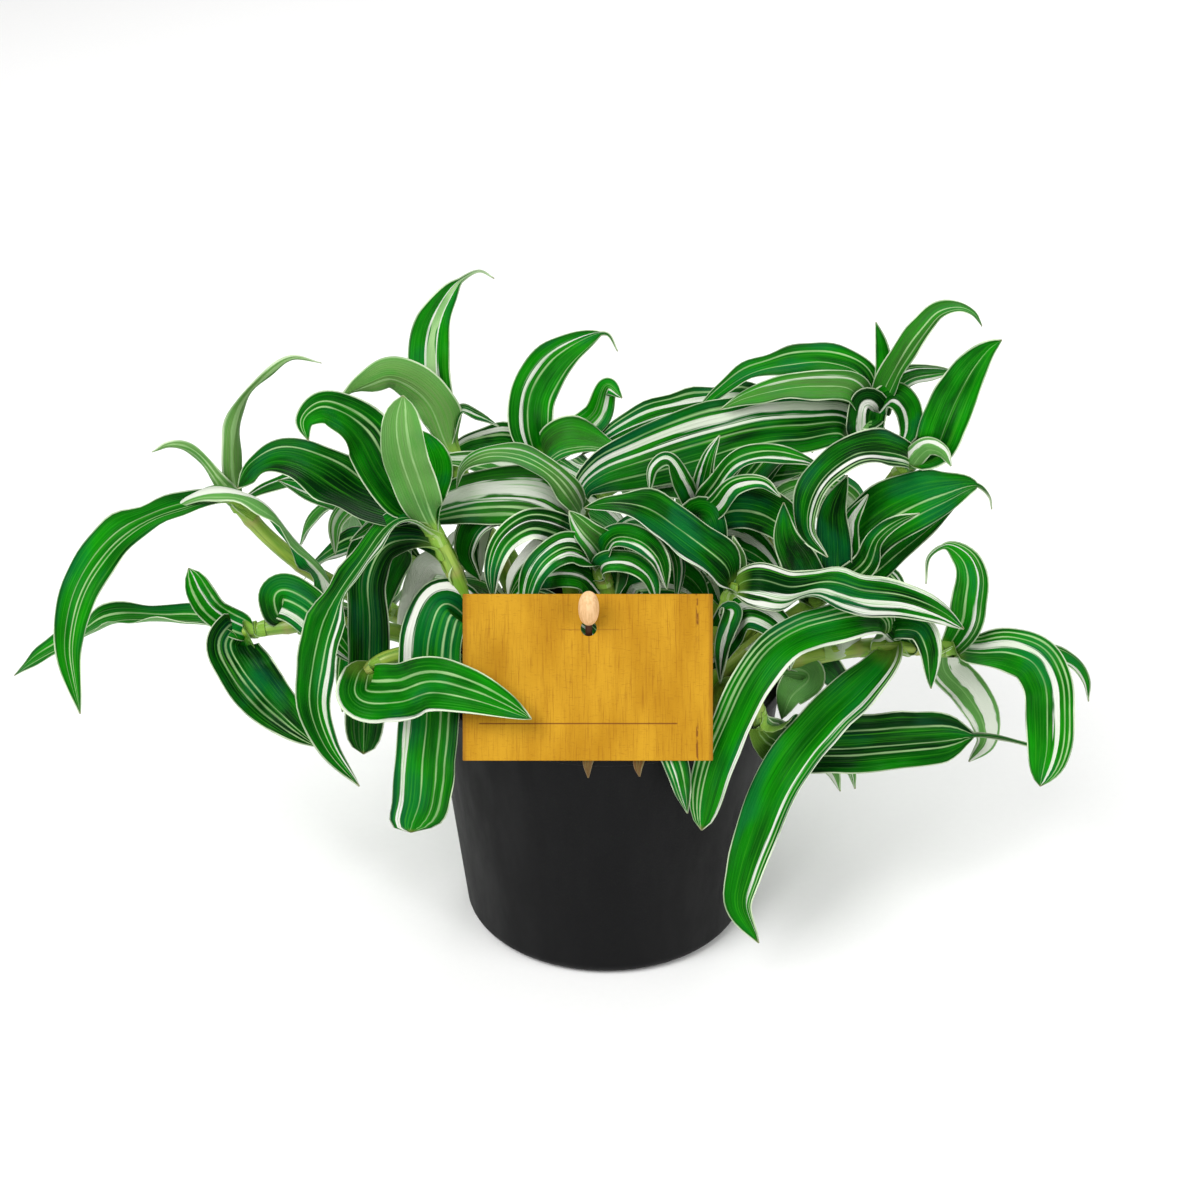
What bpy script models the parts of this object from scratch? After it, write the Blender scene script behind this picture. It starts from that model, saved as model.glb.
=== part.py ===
# Striped murdannia in a 12 cm nursery pot, with a plain wooden tag held by a peg.
# Metres, +Z up. Origin: centre of the pot's flat underside. The front, where the tag is, looks to -Y.
#
# The plant is laid out as it is seen from one viewpoint in front of and above the pot. A point of a
# stem or a leaf is written (x, z, near): x and z are read in the upright plane through the pot's axis,
# and near is how far the point is then pulled from that plane towards the viewpoint. All in mm.

import math

import bmesh
import bpy
import numpy as np
from mathutils import Matrix, Vector
from mathutils.bvhtree import BVHTree

for old in list(bpy.data.objects):
    bpy.data.objects.remove(old, do_unlink=True)

MM = 0.001
GAP = 0.3

# Pot
RIM_RADIUS = 60.0
FOOT_RADIUS = 47.5
POT_HEIGHT = 95.0
FOOT_FILLET = 4.5
WALL = 1.4
FLOOR = 2.0
LIP_HEIGHT = 4.0
LIP_WIDTH = 1.2
LIP_STEP = 1.0
RIM_CHAMFER = 0.5
FLOOR_CHAMFER = 3.0
DRAIN_HOLES = 8
DRAIN_RADIUS = 4.0
DRAIN_CIRCLE = 30.0
DRAIN_SIDES = 8
POT_SIDES = 32
POT_FLAT = RIM_RADIUS * (1 - math.cos(math.pi / POT_SIDES))

# Soil
SOIL_TOP = 85.0
SOIL_BUMP = 1.2
SOIL_SIDES = 22
SOIL_RINGS = 3
SOIL_CHAMFER = 2.0
SOIL_CHAMFER_IN = 0.6
HOLE_DEPTH = 12.0
HOLE_RADIUS = 4.0
HOLE_SIDES = 6

# Tag and peg. The tag leans back, with its lower edge just outside the rim.
TAG_WIDTH = 78.0
TAG_HEIGHT = 52.0
TAG_THICK = 1.3
TAG_LEAN = math.radians(29.5)
TAG_X = -5.8
TAG_LOW_Y = -63.0
TAG_LOW_Z = 95.1
TAG_HOLE_RADIUS = 2.5
TAG_HOLE_SIDES = 14
TAG_HOLE_X = 0.3
TAG_HOLE_DROP = 10.7
PEG_LEAN = math.radians(18.0)
PEG_RADIUS = 1.1
PEG_HOLE_RADIUS = 1.8
PEG_HEAD_RADIUS = 3.25
PEG_HEAD_HALF = 6.6
PEG_HEAD_OUT = 9.2
PEG_HEAD_FULLNESS = 0.7
PEG_FOOT_Z = 74.0
PEG_TIP = 1.5
PEG_STEPS = 7
PEG_SIDES = 10

# Stems and leaves
VIEWPOINT = np.array([-2.0, -783.3, 560.2])
VIEW_DISTANCE = 900.0
PATH_POINTS = 12
STEM_SIDES = 5
STEM_RADIUS = 3.1
STEM_TOP_RADIUS = 2.4
STEM_FOOT = 0.4
STEM_STRAIGHT = 6.0
STEM_STEP = 30.0
STEM_BEND = math.radians(40.0)
BLADE_THICK = 0.75
NECK_WIDTH = 3.6
NECK_RUN = 9.5
BLADE_TIP = 1.4
BLADE_STEP = 34.0
BLADE_BEND = math.radians(52.0)
BLADE_MOST = 5
TAPER_FROM = 0.42
WAVES = 5.5
SMALL_WIDTH = 8.5
FILL_MOST = 4
BLUNT_FROM = 3.0
BLUNT_END = 3.5
SLANT_RUN = 22.0
ROOT_DEPTH = 4.5
CLEARANCE = 0.5
FREE_FROM = 14.0
TABLE_CLEARANCE = 2.0
WELD = 0.0002
SHIFT_STEP = 3.0
SHIFT_TRIES = 15

# Shoots that fill the far side, which no viewpoint in front shows, follow a rule
FILL_SEED = 14
FILL_TRIES = 60
FILL_MIDDLE = np.array([0.25, 0.25, 0.8])
FILL_WIDTHS = (13, 18)
FILL_LENGTHS = (60, 104)
FILL_CLIMB = (15, 65)
FILL_DROOP = (-80, -35)


def unit(v):
    return v / np.linalg.norm(v)


def placed(point):
    x, z, near = point
    on_plane = np.array([x, 0.0, z])
    return on_plane + near * unit(VIEWPOINT - on_plane)


def leaf(at, width, points, rolls=(20, 10), fold=16, peak=0.3, blunt=2.0, tail=0.0, wave=0.0, slant=0.0,
         side=1):
    return dict(at=at, width=width, points=points, rolls=rolls, fold=fold, peak=peak,
                blunt=blunt, tail=tail, wave=wave, slant=slant, side=side)


# name, foot (x, y) in the soil, stem points, leaves
SHOOTS = [
    ("shoot_left_upper", (-34, 10),
     [(-66, 110, -8), (-95, 127, -4), (-109, 140, -2), (-121, 156, 0)],
     [leaf(1.0, 14, [(-131, 153, 4), (-146, 147, 10), (-161, 137, 16), (-172, 121, 22),
                     (-178, 100, 32), (-176.5, 73, 40)], rolls=(60, 50, 15, 0, 0)),
      leaf(0.96, 8, [(-119, 172, -6), (-114, 188, -12), (-106, 198, -16), (-98, 204, -16), (-89, 202, -14)],
           rolls=(160, 130, 120), peak=0.1, blunt=1.0),
      leaf(0.98, 6, [(-128, 167, 2), (-134, 172, 4), (-139, 173, 4), (-144.5, 171, 2)], rolls=(140, 120)),
      leaf(0.5, 13, [(-89, 117, 8), (-93, 130, 9), (-103, 143, 9), (-113, 154, 8), (-125, 158, 6),
                     (-134, 155, 4), (-141, 149, 4)], rolls=(-60, -70, -80, -110, -130), fold=25)]),
    ("shoot_left_lower", (-42, -6),
     [(-62, 102, 8), (-92, 108, 8), (-121, 105, 8)],
     [leaf(1.0, 13, [(-135, 109, 6), (-150, 110, 4), (-165, 107, -2), (-178, 101, -8), (-190, 93, -14),
                     (-197, 88, -18)], rolls=(60, 60, 50), fold=28),
      leaf(0.97, 10, [(-128, 112, 10), (-133, 120, 12), (-136, 129, 12)], rolls=(0, 0), fold=24, blunt=6),
      leaf(1.0, 19, [(-124, 100, 14), (-121, 91, 20), (-114, 80, 26), (-105, 69, 34), (-97, 60, 38)],
           rolls=(20, 5, 0), peak=0.16),
      leaf(0.82, 16, [(-106, 112, 12), (-106, 118, 16), (-100, 115, 20), (-91, 105, 22), (-82, 92, 23)],
           rolls=(60, 20, 0, 0), peak=0.45)]),
    ("shoot_left_tall", (-36, -22),
     [(-42, 103, 28), (-49, 126, 28), (-58, 148, 26)],
     [leaf(1.0, 19, [(-68, 150, 24), (-79, 155, 20), (-92, 164, 16), (-104, 168, 12), (-112, 165, 10),
                     (-118, 158, 8)], rolls=(40, 30, 30)),
      leaf(1.0, 18, [(-64, 155, 24), (-71, 166, 22), (-76, 177, 20), (-83, 184, 20), (-90, 186, 22),
                     (-95, 182, 24), (-94.5, 175, 26)], rolls=(0, 5, 40)),
      leaf(1.0, 15, [(-61, 159, 32), (-64, 171, 35), (-65, 182, 35), (-64, 191, 32)],
           rolls=(180, 180, 180), fold=-25, peak=0.45, blunt=6),
      leaf(0.98, 15, [(-58, 157, 22), (-56, 166, 22), (-59, 179, 20)], rolls=(0, 0), peak=0.5, blunt=3),
      leaf(0.95, 15, [(-66, 146, 33), (-77, 134, 37), (-86, 121, 40), (-91, 108, 42), (-96, 92, 44),
                      (-98, 76, 46), (-94, 60, 48), (-84, 44, 50)], rolls=(60, 65, 55, 15, 0, 0)),
      leaf(0.5, 21, [(-53, 114, 36), (-57, 104, 41), (-58.5, 88, 45), (-59, 70, 49), (-61, 52, 52),
                     (-63, 36, 53), (-67, 25, 53)], rolls=(30, 10, 5, 5), blunt=14, slant=0.7),
      leaf(0.9, 14, [(-70, 138, 20), (-77, 126, 24), (-78, 108, 30), (-79, 90, 34), (-81, 72, 36),
                     (-82, 57, 36)], rolls=(40, 10, 0), blunt=12, side=-1),
      leaf(0.8, 9, [(-58, 130, 14), (-64, 117, 10), (-69, 102, 8)], rolls=(170, 180), side=-1),
      leaf(0.85, 12, [(-62, 142, 12), (-69, 132, 6), (-74, 118, 2), (-76, 103, 0)], rolls=(20, 0), side=-1)]),
    ("shoot_left_front", (-43, -27),
     [(-60, 96, 34), (-72, 95, 38), (-80, 90, 40)],
     [leaf(1.0, 20, [(-81, 82, 46), (-70, 81, 54), (-58, 84.5, 62), (-46, 82, 69), (-35, 77, 73),
                     (-25, 71, 75)], rolls=(10, 10, 5), peak=0.2)]),
    ("shoot_back_left", (-24, 22),
     [(-38, 140, -30), (-51, 177, -36)],
     [leaf(1.0, 13.5, [(-54, 188, -40), (-55.5, 200, -44), (-54.5, 212, -50), (-50, 223, -56),
                       (-45, 230, -60), (-39, 233, -62), (-34.5, 230.5, -62)], rolls=(0, 0, 20),
           peak=0.36, tail=0.16),
      leaf(0.98, 14, [(-54, 187, -34), (-61, 195, -33), (-68, 198, -32), (-76, 195, -31), (-84, 190, -31)],
           rolls=(170, 160, 120)),
      leaf(0.97, 5, [(-46, 186, -38), (-41, 184, -40), (-34, 180, -42)], rolls=(50, 50)),
      leaf(0.95, 7, [(-60, 173, -34), (-72, 170.5, -34), (-84, 168, -34), (-94, 165, -34)], rolls=(60, 60)),
      leaf(0.9, 13, [(-62, 166, -28), (-80, 164, -26), (-95, 161, -22), (-108, 158, -18), (-118, 153, -14)],
           rolls=(60, 60, 50)),
      leaf(0.8, 16, [(-64, 154, -24), (-78, 154, -22), (-92, 156, -20),
                     (-105, 161, -18)], rolls=(40, 30), side=-1),
      leaf(0.7, 10, [(-60, 150, -16), (-71, 147, -14), (-83, 139, -12)], rolls=(40, 20), side=-1),
      leaf(0.85, 9, [(-70, 158, -20), (-81, 153, -16), (-87, 146, -12), (-88, 134, -10)], rolls=(50, 10))]),
    ("shoot_back_middle", (-10, 34),
     [(-14, 135, -38), (-22, 170, -46)],
     [leaf(1.0, 15, [(-24, 180, -50), (-23, 191, -56), (-17, 202, -62), (-8, 209, -66), (0, 212, -66),
                     (3.5, 206, -64)], rolls=(0, 0, 20), tail=0.12),
      leaf(0.98, 10, [(-12, 176, -52), (-3, 184, -54), (0.5, 194, -54),
                      (5, 190, -50)], rolls=(0, 0), blunt=3),
      leaf(0.97, 15, [(-31, 173, -42), (-42, 173, -38), (-52, 167, -36)], rolls=(40, 40), side=-1),
      leaf(0.97, 15, [(-14, 174, -40), (-4, 174.5, -38), (6, 170, -36)], rolls=(40, 40), side=-1)]),
    ("shoot_centre", (-6, 4),
     [(-6, 122, -2), (-7, 146, -2)],
     [leaf(1.0, 21, [(-13, 148, 8), (-21, 153, 10), (-32, 155, 11), (-44, 154, 11), (-55, 150, 10),
                     (-62, 145, 8)], rolls=(25, 15, 15)),
      leaf(1.0, 11, [(-12, 156, 6), (-20, 164, 7), (-29, 169, 7), (-38, 170, 7), (-45, 166, 7),
                     (-48, 158, 7)], rolls=(50, 45, 45)),
      leaf(0.97, 11, [(-16, 156, -10), (-28, 164, -14), (-42, 168, -16),
                      (-57, 168, -18)], rolls=(40, 40), side=-1),
      leaf(0.92, 12, [(-16, 141, 8), (-26, 143, 10), (-36, 145, 10)], rolls=(60, 50)),
      leaf(0.97, 12, [(-20, 149, 10), (-34, 150, 14), (-43, 144, 17), (-46, 134, 19), (-41, 124, 20)],
           rolls=(60, 30, 10, 0), side=1),
      leaf(0.85, 11, [(-15, 143, 14), (-25, 145, 20), (-33, 139, 25), (-37, 129, 27), (-37, 117, 27)],
           rolls=(20, 0, 0)),
      leaf(0.75, 13, [(-13, 134, 10), (-21, 133, 15), (-28, 126, 18), (-31, 115, 19)], rolls=(30, 10)),
      leaf(0.9, 13, [(-16, 146, 2), (-30, 151, 4), (-39, 148, 6), (-42, 138, 8), (-41, 126, 10)],
           rolls=(10, 10))]),
    ("shoot_behind_tag", (10, -20),
     [(4, 108, 20), (-3, 132, 20)],
     [leaf(1.0, 11, [(-12, 136, 24), (-20, 131, 28), (-25, 121, 30), (-26, 108, 30)], rolls=(30, 10)),
      leaf(1.0, 9, [(3, 140, 24), (11, 139, 28), (17, 133, 30), (20, 121, 30)], rolls=(30, 10)),
      leaf(0.95, 8, [(1, 131, 29), (8, 131, 32), (14, 126, 33), (17, 115, 33)], rolls=(30, 10)),
      leaf(0.97, 7, [(8, 146, 10), (18, 141, 14), (23, 131, 18), (23, 116, 20)], rolls=(50, 30)),
      leaf(0.75, 15, [(-5, 126, 8), (-14, 129, 2), (-24, 126, -2), (-32, 117, -4)], rolls=(10, 0), side=-1),
      leaf(0.7, 15, [(6, 124, 8), (15, 127, 2), (26, 124, -2), (34, 115, -4)], rolls=(10, 0), side=-1),
      leaf(0.8, 13, [(0, 134, 10), (-7, 143, 4), (-12, 150, -2)], rolls=(0, 0), side=-1)]),
    ("shoot_front_right", (26, -24),
     [(35, 100, 27), (42, 123, 24)],
     [leaf(1.0, 17, [(33, 133, 26), (22, 143, 24), (12, 149, 22), (2, 151.5, 20), (-7, 151, 18)],
           rolls=(35, 35, 35), fold=25),
      leaf(1.0, 16, [(50, 122, 28), (60, 119.5, 30), (71, 120.5, 32), (84, 118, 32), (98, 116.5, 32),
                     (109, 112, 32), (118, 106, 32)], rolls=(10, 15, 60, 20, 5, 5), wave=1.5, peak=0.15),
      leaf(0.7, 7, [(41, 112, 30), (38.5, 100, 34), (38, 85, 38)], rolls=(20, 0)),
      leaf(0.98, 6, [(43, 131, 19), (41, 141, 17)], rolls=(0, 0)),
      leaf(0.5, 13, [(46, 112, 31), (54, 109, 32), (60, 101, 32), (61, 90, 32)], rolls=(20, 0), side=-1)]),
    ("shoot_inner_right", (18, 2),
     [(24, 122, -2), (30, 148, -2)],
     [leaf(1.0, 7, [(24, 160, 4), (19, 168, 6), (15, 165, 8), (14, 156, 10)], rolls=(20, 20)),
      leaf(1.0, 7, [(31, 162, 0), (33, 170, 1), (36, 177, 1)], rolls=(0, 0)),
      leaf(1.0, 9, [(34, 157, 6), (40, 166, 8), (50, 169.5, 8), (62, 168.5, 6),
                    (70, 165, 4)], rolls=(40, 40)),
      leaf(0.97, 8, [(36, 152, 10), (42, 159, 13), (50, 160, 15), (56, 155, 15)], rolls=(20, 20)),
      leaf(0.97, 14, [(32, 146, 12), (34, 137, 16), (33, 126, 18)], rolls=(0, 0)),
      leaf(0.97, 16, [(40, 151, 2), (51, 150, 4), (60, 143, 6), (68, 131, 8)], rolls=(20, 0)),
      leaf(0.8, 14, [(38, 140, -4), (48, 136, -2), (57, 127, 0)], rolls=(30, 10), side=-1),
      leaf(0.6, 12, [(30, 129, 4), (35, 124, 6), (38, 114, 8)], rolls=(10, 0), side=-1)]),
    ("shoot_right_middle", (36, -6),
     [(56, 106, 5), (75, 122, 6)],
     [leaf(1.0, 21, [(80, 136, 3), (88, 146, 1), (98, 153, 0), (109, 157, -6), (119, 159, -12),
                     (123, 155, -14), (124, 150.5, -14)], rolls=(20, 15, 10), tail=0.14),
      leaf(1.0, 12, [(74, 135, 10), (73, 150, 8), (77, 163, 4)], rolls=(0, 0)),
      leaf(0.98, 8, [(78, 133, 8), (79, 146, 6), (84, 156, 3)], rolls=(0, 0)),
      leaf(0.98, 9, [(84, 130, 12), (88, 140, 12), (95, 146, 11), (101, 149, 10)], rolls=(0, 30)),
      leaf(0.95, 10, [(86, 127, 4), (95, 136, -3), (104, 144, -8), (112, 151, -10)], rolls=(10, 20), side=-1),
      leaf(0.95, 13, [(67, 131, 14), (60, 138, 16), (54, 146, 16), (50, 152, 16)], rolls=(20, 20)),
      leaf(0.9, 13, [(63, 130, -2), (58, 141, -6), (57, 153, -8)], rolls=(0, 0), side=-1)]),
    ("shoot_right_top", (28, 20),
     [(52, 138, -30), (76, 172, -34), (86, 187, -34)],
     [leaf(1.0, 6, [(87, 198, -36), (86, 207, -38), (83.5, 216, -38)], rolls=(0, 0)),
      leaf(1.0, 9, [(88, 195, -30), (93, 205, -28), (98, 213, -27), (103, 219.5, -26), (109, 221, -25),
                    (113.5, 219, -24), (116.5, 214.5, -23)], rolls=(20, 30, 40)),
      leaf(0.98, 11, [(80, 198, -36), (70, 202.5, -38), (58, 203, -40), (46, 199, -42), (36, 192, -42),
                      (28, 185, -42)], rolls=(35, 35)),
      leaf(0.96, 11, [(77, 193, -28), (66, 193.5, -26), (54, 192.5, -25), (44, 190, -25), (36, 186, -25)],
           rolls=(35, 30)),
      leaf(0.9, 23, [(74, 182, -22), (62, 181, -16), (46, 179.5, -12), (30, 175, -10), (12, 168.5, -10),
                     (-1, 163.5, -10), (-7, 158, -9), (-7.5, 151, -7)], rolls=(25, 12, 10), blunt=3),
      leaf(0.85, 14, [(58, 184, -34), (38, 188, -40), (20, 186, -42), (5, 179, -42), (-8, 170, -42)],
           rolls=(45, 40)),
      leaf(0.98, 13, [(82, 186, -24), (82, 178, -20), (84.5, 169, -18)], rolls=(10, 0), blunt=3),
      leaf(0.98, 10, [(91, 190, -28), (95, 186, -25), (96, 179, -23), (93, 171, -22)], rolls=(20, 10)),
      leaf(0.96, 9, [(94, 196, -46), (102, 198.5, -50), (110, 199, -52)], rolls=(40, 40), side=-1),
      leaf(0.45, 13, [(40, 149, -20), (30, 157, -20), (20, 158, -20), (11, 156, -19)], rolls=(10, 10), side=-1)]),
    ("shoot_right_upper", (39, 9),
     [(64, 128, -8), (88, 156, -10), (98, 169, -10)],
     [leaf(1.0, 15, [(104, 173, -8), (106.5, 181, -8), (109.5, 190, -12), (114, 200, -18), (119, 207, -22),
                     (123, 210, -24)], rolls=(0, 0), peak=0.4),
      leaf(1.0, 12, [(88, 172, -2), (78, 171, 4), (70, 164, 8), (65, 153, 12), (65, 142, 14), (72, 133, 16)],
           rolls=(30, 20, 10)),
      leaf(0.98, 7, [(102, 173, -4), (107, 171, -2), (110, 166, 0)], rolls=(170, 170)),
      leaf(0.75, 15, [(76, 152, -16), (66, 154, -16), (55, 149, -16),
                      (46, 140, -14)], rolls=(40, 20), side=-1)]),
    ("shoot_right_low", (42, -14),
     [(56, 93, 18), (66, 95, 17), (80, 98, 16), (92, 100, 15), (104, 99, 14), (116, 98, 12)],
     [leaf(0.72, 14, [(90, 108, 22), (78, 108, 28), (66, 104.5, 36), (56, 97, 44), (48, 84, 52),
                      (42, 68, 57), (37, 52, 60), (34, 38, 60), (33, 26, 60)], rolls=(50, 30, 10, 5, 0),
                      blunt=9),
      leaf(0.78, 16, [(93, 94, 24), (84, 82, 34), (74, 71, 44), (65, 58, 54), (57, 42, 62), (52, 25, 66),
                      (48, 8, 68), (46.5, -6, 70), (54, -22, 72)], rolls=(20, 10, 5, 0), blunt=3),
      leaf(0.97, 13, [(114, 90, 8), (121, 82, 10), (127, 72, 12), (128.5, 62, 14), (123, 54, 16)],
           rolls=(170, 180, 180)),
      leaf(0.85, 10, [(95, 107, 22), (103, 106, 25), (107, 98, 28), (108.5, 83, 30)], rolls=(40, 10)),
      leaf(0.98, 12, [(118, 107, 14), (119, 116, 15), (119, 126, 16), (116, 133, 17), (110, 137, 18),
                      (105, 133, 19), (104.5, 123, 20)], rolls=(0, 0, 20), tail=0.2),
      leaf(1.0, 17, [(124, 97, 14), (134, 97, 17), (142, 93.5, 21), (147, 85, 28), (149, 72, 34),
                     (149.5, 58, 38), (148, 44, 40)], rolls=(30, 20, 5, 0), peak=0.42, blunt=5),
      leaf(0.97, 7, [(130, 96, -2), (145, 97, -8), (155, 93, -12), (160, 86, -14),
                     (161.5, 78, -14)], rolls=(50, 20)),
      leaf(0.6, 10, [(80, 110, 14), (64, 106, 22), (46, 98, 30)], rolls=(170, 180), side=-1),
      leaf(0.3, 14, [(66, 88, 12), (61, 80, 14), (59, 71, 14)], rolls=(160, 180), side=-1),
      leaf(0.4, 11, [(72, 91, 10), (79, 86, 6), (87, 84, 2)], rolls=(30, 10), side=-1)]),
    ("shoot_right_front", (34, -31),
     [(40, 84, 38), (46, 82.5, 45), (50.5, 75, 50), (52, 67, 50)],
     [leaf(1.0, 20, [(62, 61.5, 48), (78, 60.5, 44), (94, 61.5, 40), (108, 63, 36), (118, 64, 32),
                     (130, 64, 30), (142, 61, 28), (157, 56.5, 26)], rolls=(10, 10, 10), tail=0.3,
                     peak=0.12, blunt=5),
      leaf(0.97, 9, [(60, 60, 42), (70, 56, 38), (77, 50, 36), (80, 42, 36)], rolls=(150, 180)),
      leaf(0.95, 8, [(62, 64, 38), (76, 58, 34), (83, 51, 32), (85, 43, 32)], rolls=(150, 180))]),
    ("shoot_front_low", (8, -44),
     [(8.3, 64.5, 54), (9, 66.5, 57)],
     [leaf(1.0, 9, [(14, 64.5, 64), (20.5, 61, 69.5), (24, 52, 72.4), (28, 33, 70)], rolls=(0, 0), fold=8),
      leaf(0.95, 6, [(2, 64, 63), (-4, 60.5, 69.5), (-6, 55, 72.8), (-6, 47.5, 73)], rolls=(0, 0), fold=0),
      leaf(0.95, 6, [(11, 62, 67), (11.3, 57, 71.5), (11, 52, 72.5),
                     (11.5, 48, 72.4)], rolls=(0, 0), fold=0)]),
]

# name, foot (x, y) in the soil, top of the stem (x, y, z), number of leaves, azimuths in degrees
FILL_SHOOTS = [
    ("shoot_far_left", (-26, 38), (-62, 70, 118), 6, (70, 230)),
    ("shoot_far_middle", (6, 48), (-4, 88, 114), 6, (10, 170)),
    ("shoot_far_right", (28, 38), (50, 74, 120), 6, (-30, 110)),
    ("shoot_side_left", (-40, 24), (-76, 48, 108), 5, (100, 260)),
    ("shoot_side_right", (40, 26), (78, 50, 108), 5, (-60, 90)),
    ("shoot_inner_left", (-22, -4), (-38, 2, 116), 4, (110, 330)),
    ("shoot_inner_middle", (10, 18), (14, 20, 124), 4, (-120, 160)),
]

# where, in the upright plane through the axis, the shoots in front leave nothing to be seen
FILL_WINDOW = [(-100, 100), (-101, 148), (-80, 166), (-55, 178), (-20, 172), (0, 172), (30, 180), (80, 192),
               (92, 185), (98, 165), (108, 150), (95, 130), (110, 112), (108, 100), (66, 98), (57, 72),
               (110, 70), (116, 56), (60, 52), (-50, 52), (-95, 64)]


def plain_material(name, colour, roughness):
    material = bpy.data.materials.new(name)
    material.use_nodes = True
    shader = material.node_tree.nodes["Principled BSDF"]
    shader.inputs["Base Color"].default_value = (*colour, 1.0)
    shader.inputs["Roughness"].default_value = roughness
    shader.inputs["Metallic"].default_value = 0.0
    return material


LEAF_MATERIAL = plain_material("leaf", (0.045, 0.20, 0.03), 0.4)
POT_MATERIAL = plain_material("pot_plastic", (0.02, 0.02, 0.022), 0.5)
SOIL_MATERIAL = plain_material("soil", (0.035, 0.02, 0.012), 0.95)
TAG_MATERIAL = plain_material("tag_wood", (0.72, 0.40, 0.06), 0.55)
PEG_MATERIAL = plain_material("peg_wood", (0.72, 0.52, 0.32), 0.6)


def mesh_from(name, verts, faces):
    mesh = bpy.data.meshes.new(name)
    mesh.from_pydata([tuple(c * MM for c in v) for v in verts], [], faces)
    mesh.update()
    return mesh


def add_object(name, mesh, material):
    obj = bpy.data.objects.new(name, mesh)
    bpy.context.collection.objects.link(obj)
    mesh.materials.append(material)
    return obj


def outward(mesh):
    bm = bmesh.new()
    bm.from_mesh(mesh)
    bmesh.ops.recalc_face_normals(bm, faces=bm.faces)
    bm.to_mesh(mesh)
    bm.free()


def turned(profile, sides):
    # a closed profile of (radius, z) turned round the Z axis; radius 0 makes a pole
    verts, rings = [], []
    for radius, z in profile:
        if radius == 0.0:
            rings.append([len(verts)])
            verts.append((0.0, 0.0, z))
            continue
        rings.append(list(range(len(verts), len(verts) + sides)))
        for k in range(sides):
            angle = 2 * math.pi * k / sides
            verts.append((radius * math.cos(angle), radius * math.sin(angle), z))
    faces = []
    for a, b in zip(rings, rings[1:] + rings[:1]):
        if len(a) == 1 and len(b) == 1:
            continue
        for k in range(sides):
            n = (k + 1) % sides
            if len(a) == 1:
                faces.append((a[0], b[n], b[k]))
            elif len(b) == 1:
                faces.append((a[k], a[n], b[0]))
            else:
                faces.append((a[k], a[n], b[n], b[k]))
    return verts, faces


def cut(obj, cutter, solver="EXACT"):
    cutter.hide_render = True
    cutter.display_type = "WIRE"
    change = obj.modifiers.new("cut", "BOOLEAN")
    change.operation = "DIFFERENCE"
    change.solver = solver
    change.object = cutter


def outer_radius(z):
    return FOOT_RADIUS + (RIM_RADIUS - LIP_WIDTH - FOOT_RADIUS) * z / POT_HEIGHT


def make_pot():
    foot = []
    for k in range(4):
        angle = math.pi / 2 * k / 3
        foot.append((outer_radius(FOOT_FILLET) - FOOT_FILLET * (1 - math.sin(angle)),
                     FOOT_FILLET * (1 - math.cos(angle))))
    lip_low = POT_HEIGHT - LIP_HEIGHT
    profile = [(0.0, 0.0)] + foot + [
        (outer_radius(lip_low - LIP_STEP), lip_low - LIP_STEP), (RIM_RADIUS, lip_low),
        (RIM_RADIUS, POT_HEIGHT - RIM_CHAMFER), (RIM_RADIUS - RIM_CHAMFER, POT_HEIGHT),
        (outer_radius(POT_HEIGHT) - WALL, POT_HEIGHT),
        (outer_radius(FLOOR + FLOOR_CHAMFER) - WALL, FLOOR + FLOOR_CHAMFER),
        (outer_radius(FLOOR) - WALL - FLOOR_CHAMFER, FLOOR), (0.0, FLOOR)]
    verts, faces = turned(profile, POT_SIDES)
    mesh = mesh_from("pot", verts, faces)
    outward(mesh)
    pot = add_object("pot", mesh, POT_MATERIAL)
    drill_verts, drill_faces = [], []
    for k in range(DRAIN_HOLES):
        angle = 2 * math.pi * (k + 0.5) / DRAIN_HOLES
        hole_verts, hole_faces = turned([(0.0, -1.0), (DRAIN_RADIUS, -1.0), (DRAIN_RADIUS, FLOOR + 1.0),
                                         (0.0, FLOOR + 1.0)], DRAIN_SIDES)
        start = len(drill_verts)
        drill_verts += [(x + DRAIN_CIRCLE * math.cos(angle), y + DRAIN_CIRCLE * math.sin(angle), z)
                        for x, y, z in hole_verts]
        drill_faces += [tuple(start + i for i in face) for face in hole_faces]
    drill_mesh = mesh_from("drain_cutter", drill_verts, drill_faces)
    outward(drill_mesh)
    cut(pot, add_object("drain_cutter", drill_mesh, POT_MATERIAL))
    mesh.shade_smooth()
    mesh.set_sharp_from_angle(angle=math.radians(35))
    return pot


def soil_height(x, y):
    wave = math.sin(0.31 * x + 1.1) * math.cos(0.27 * y + 0.4) + 0.6 * math.sin(0.13 * x - 0.19 * y)
    return SOIL_TOP + SOIL_BUMP * wave


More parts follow.
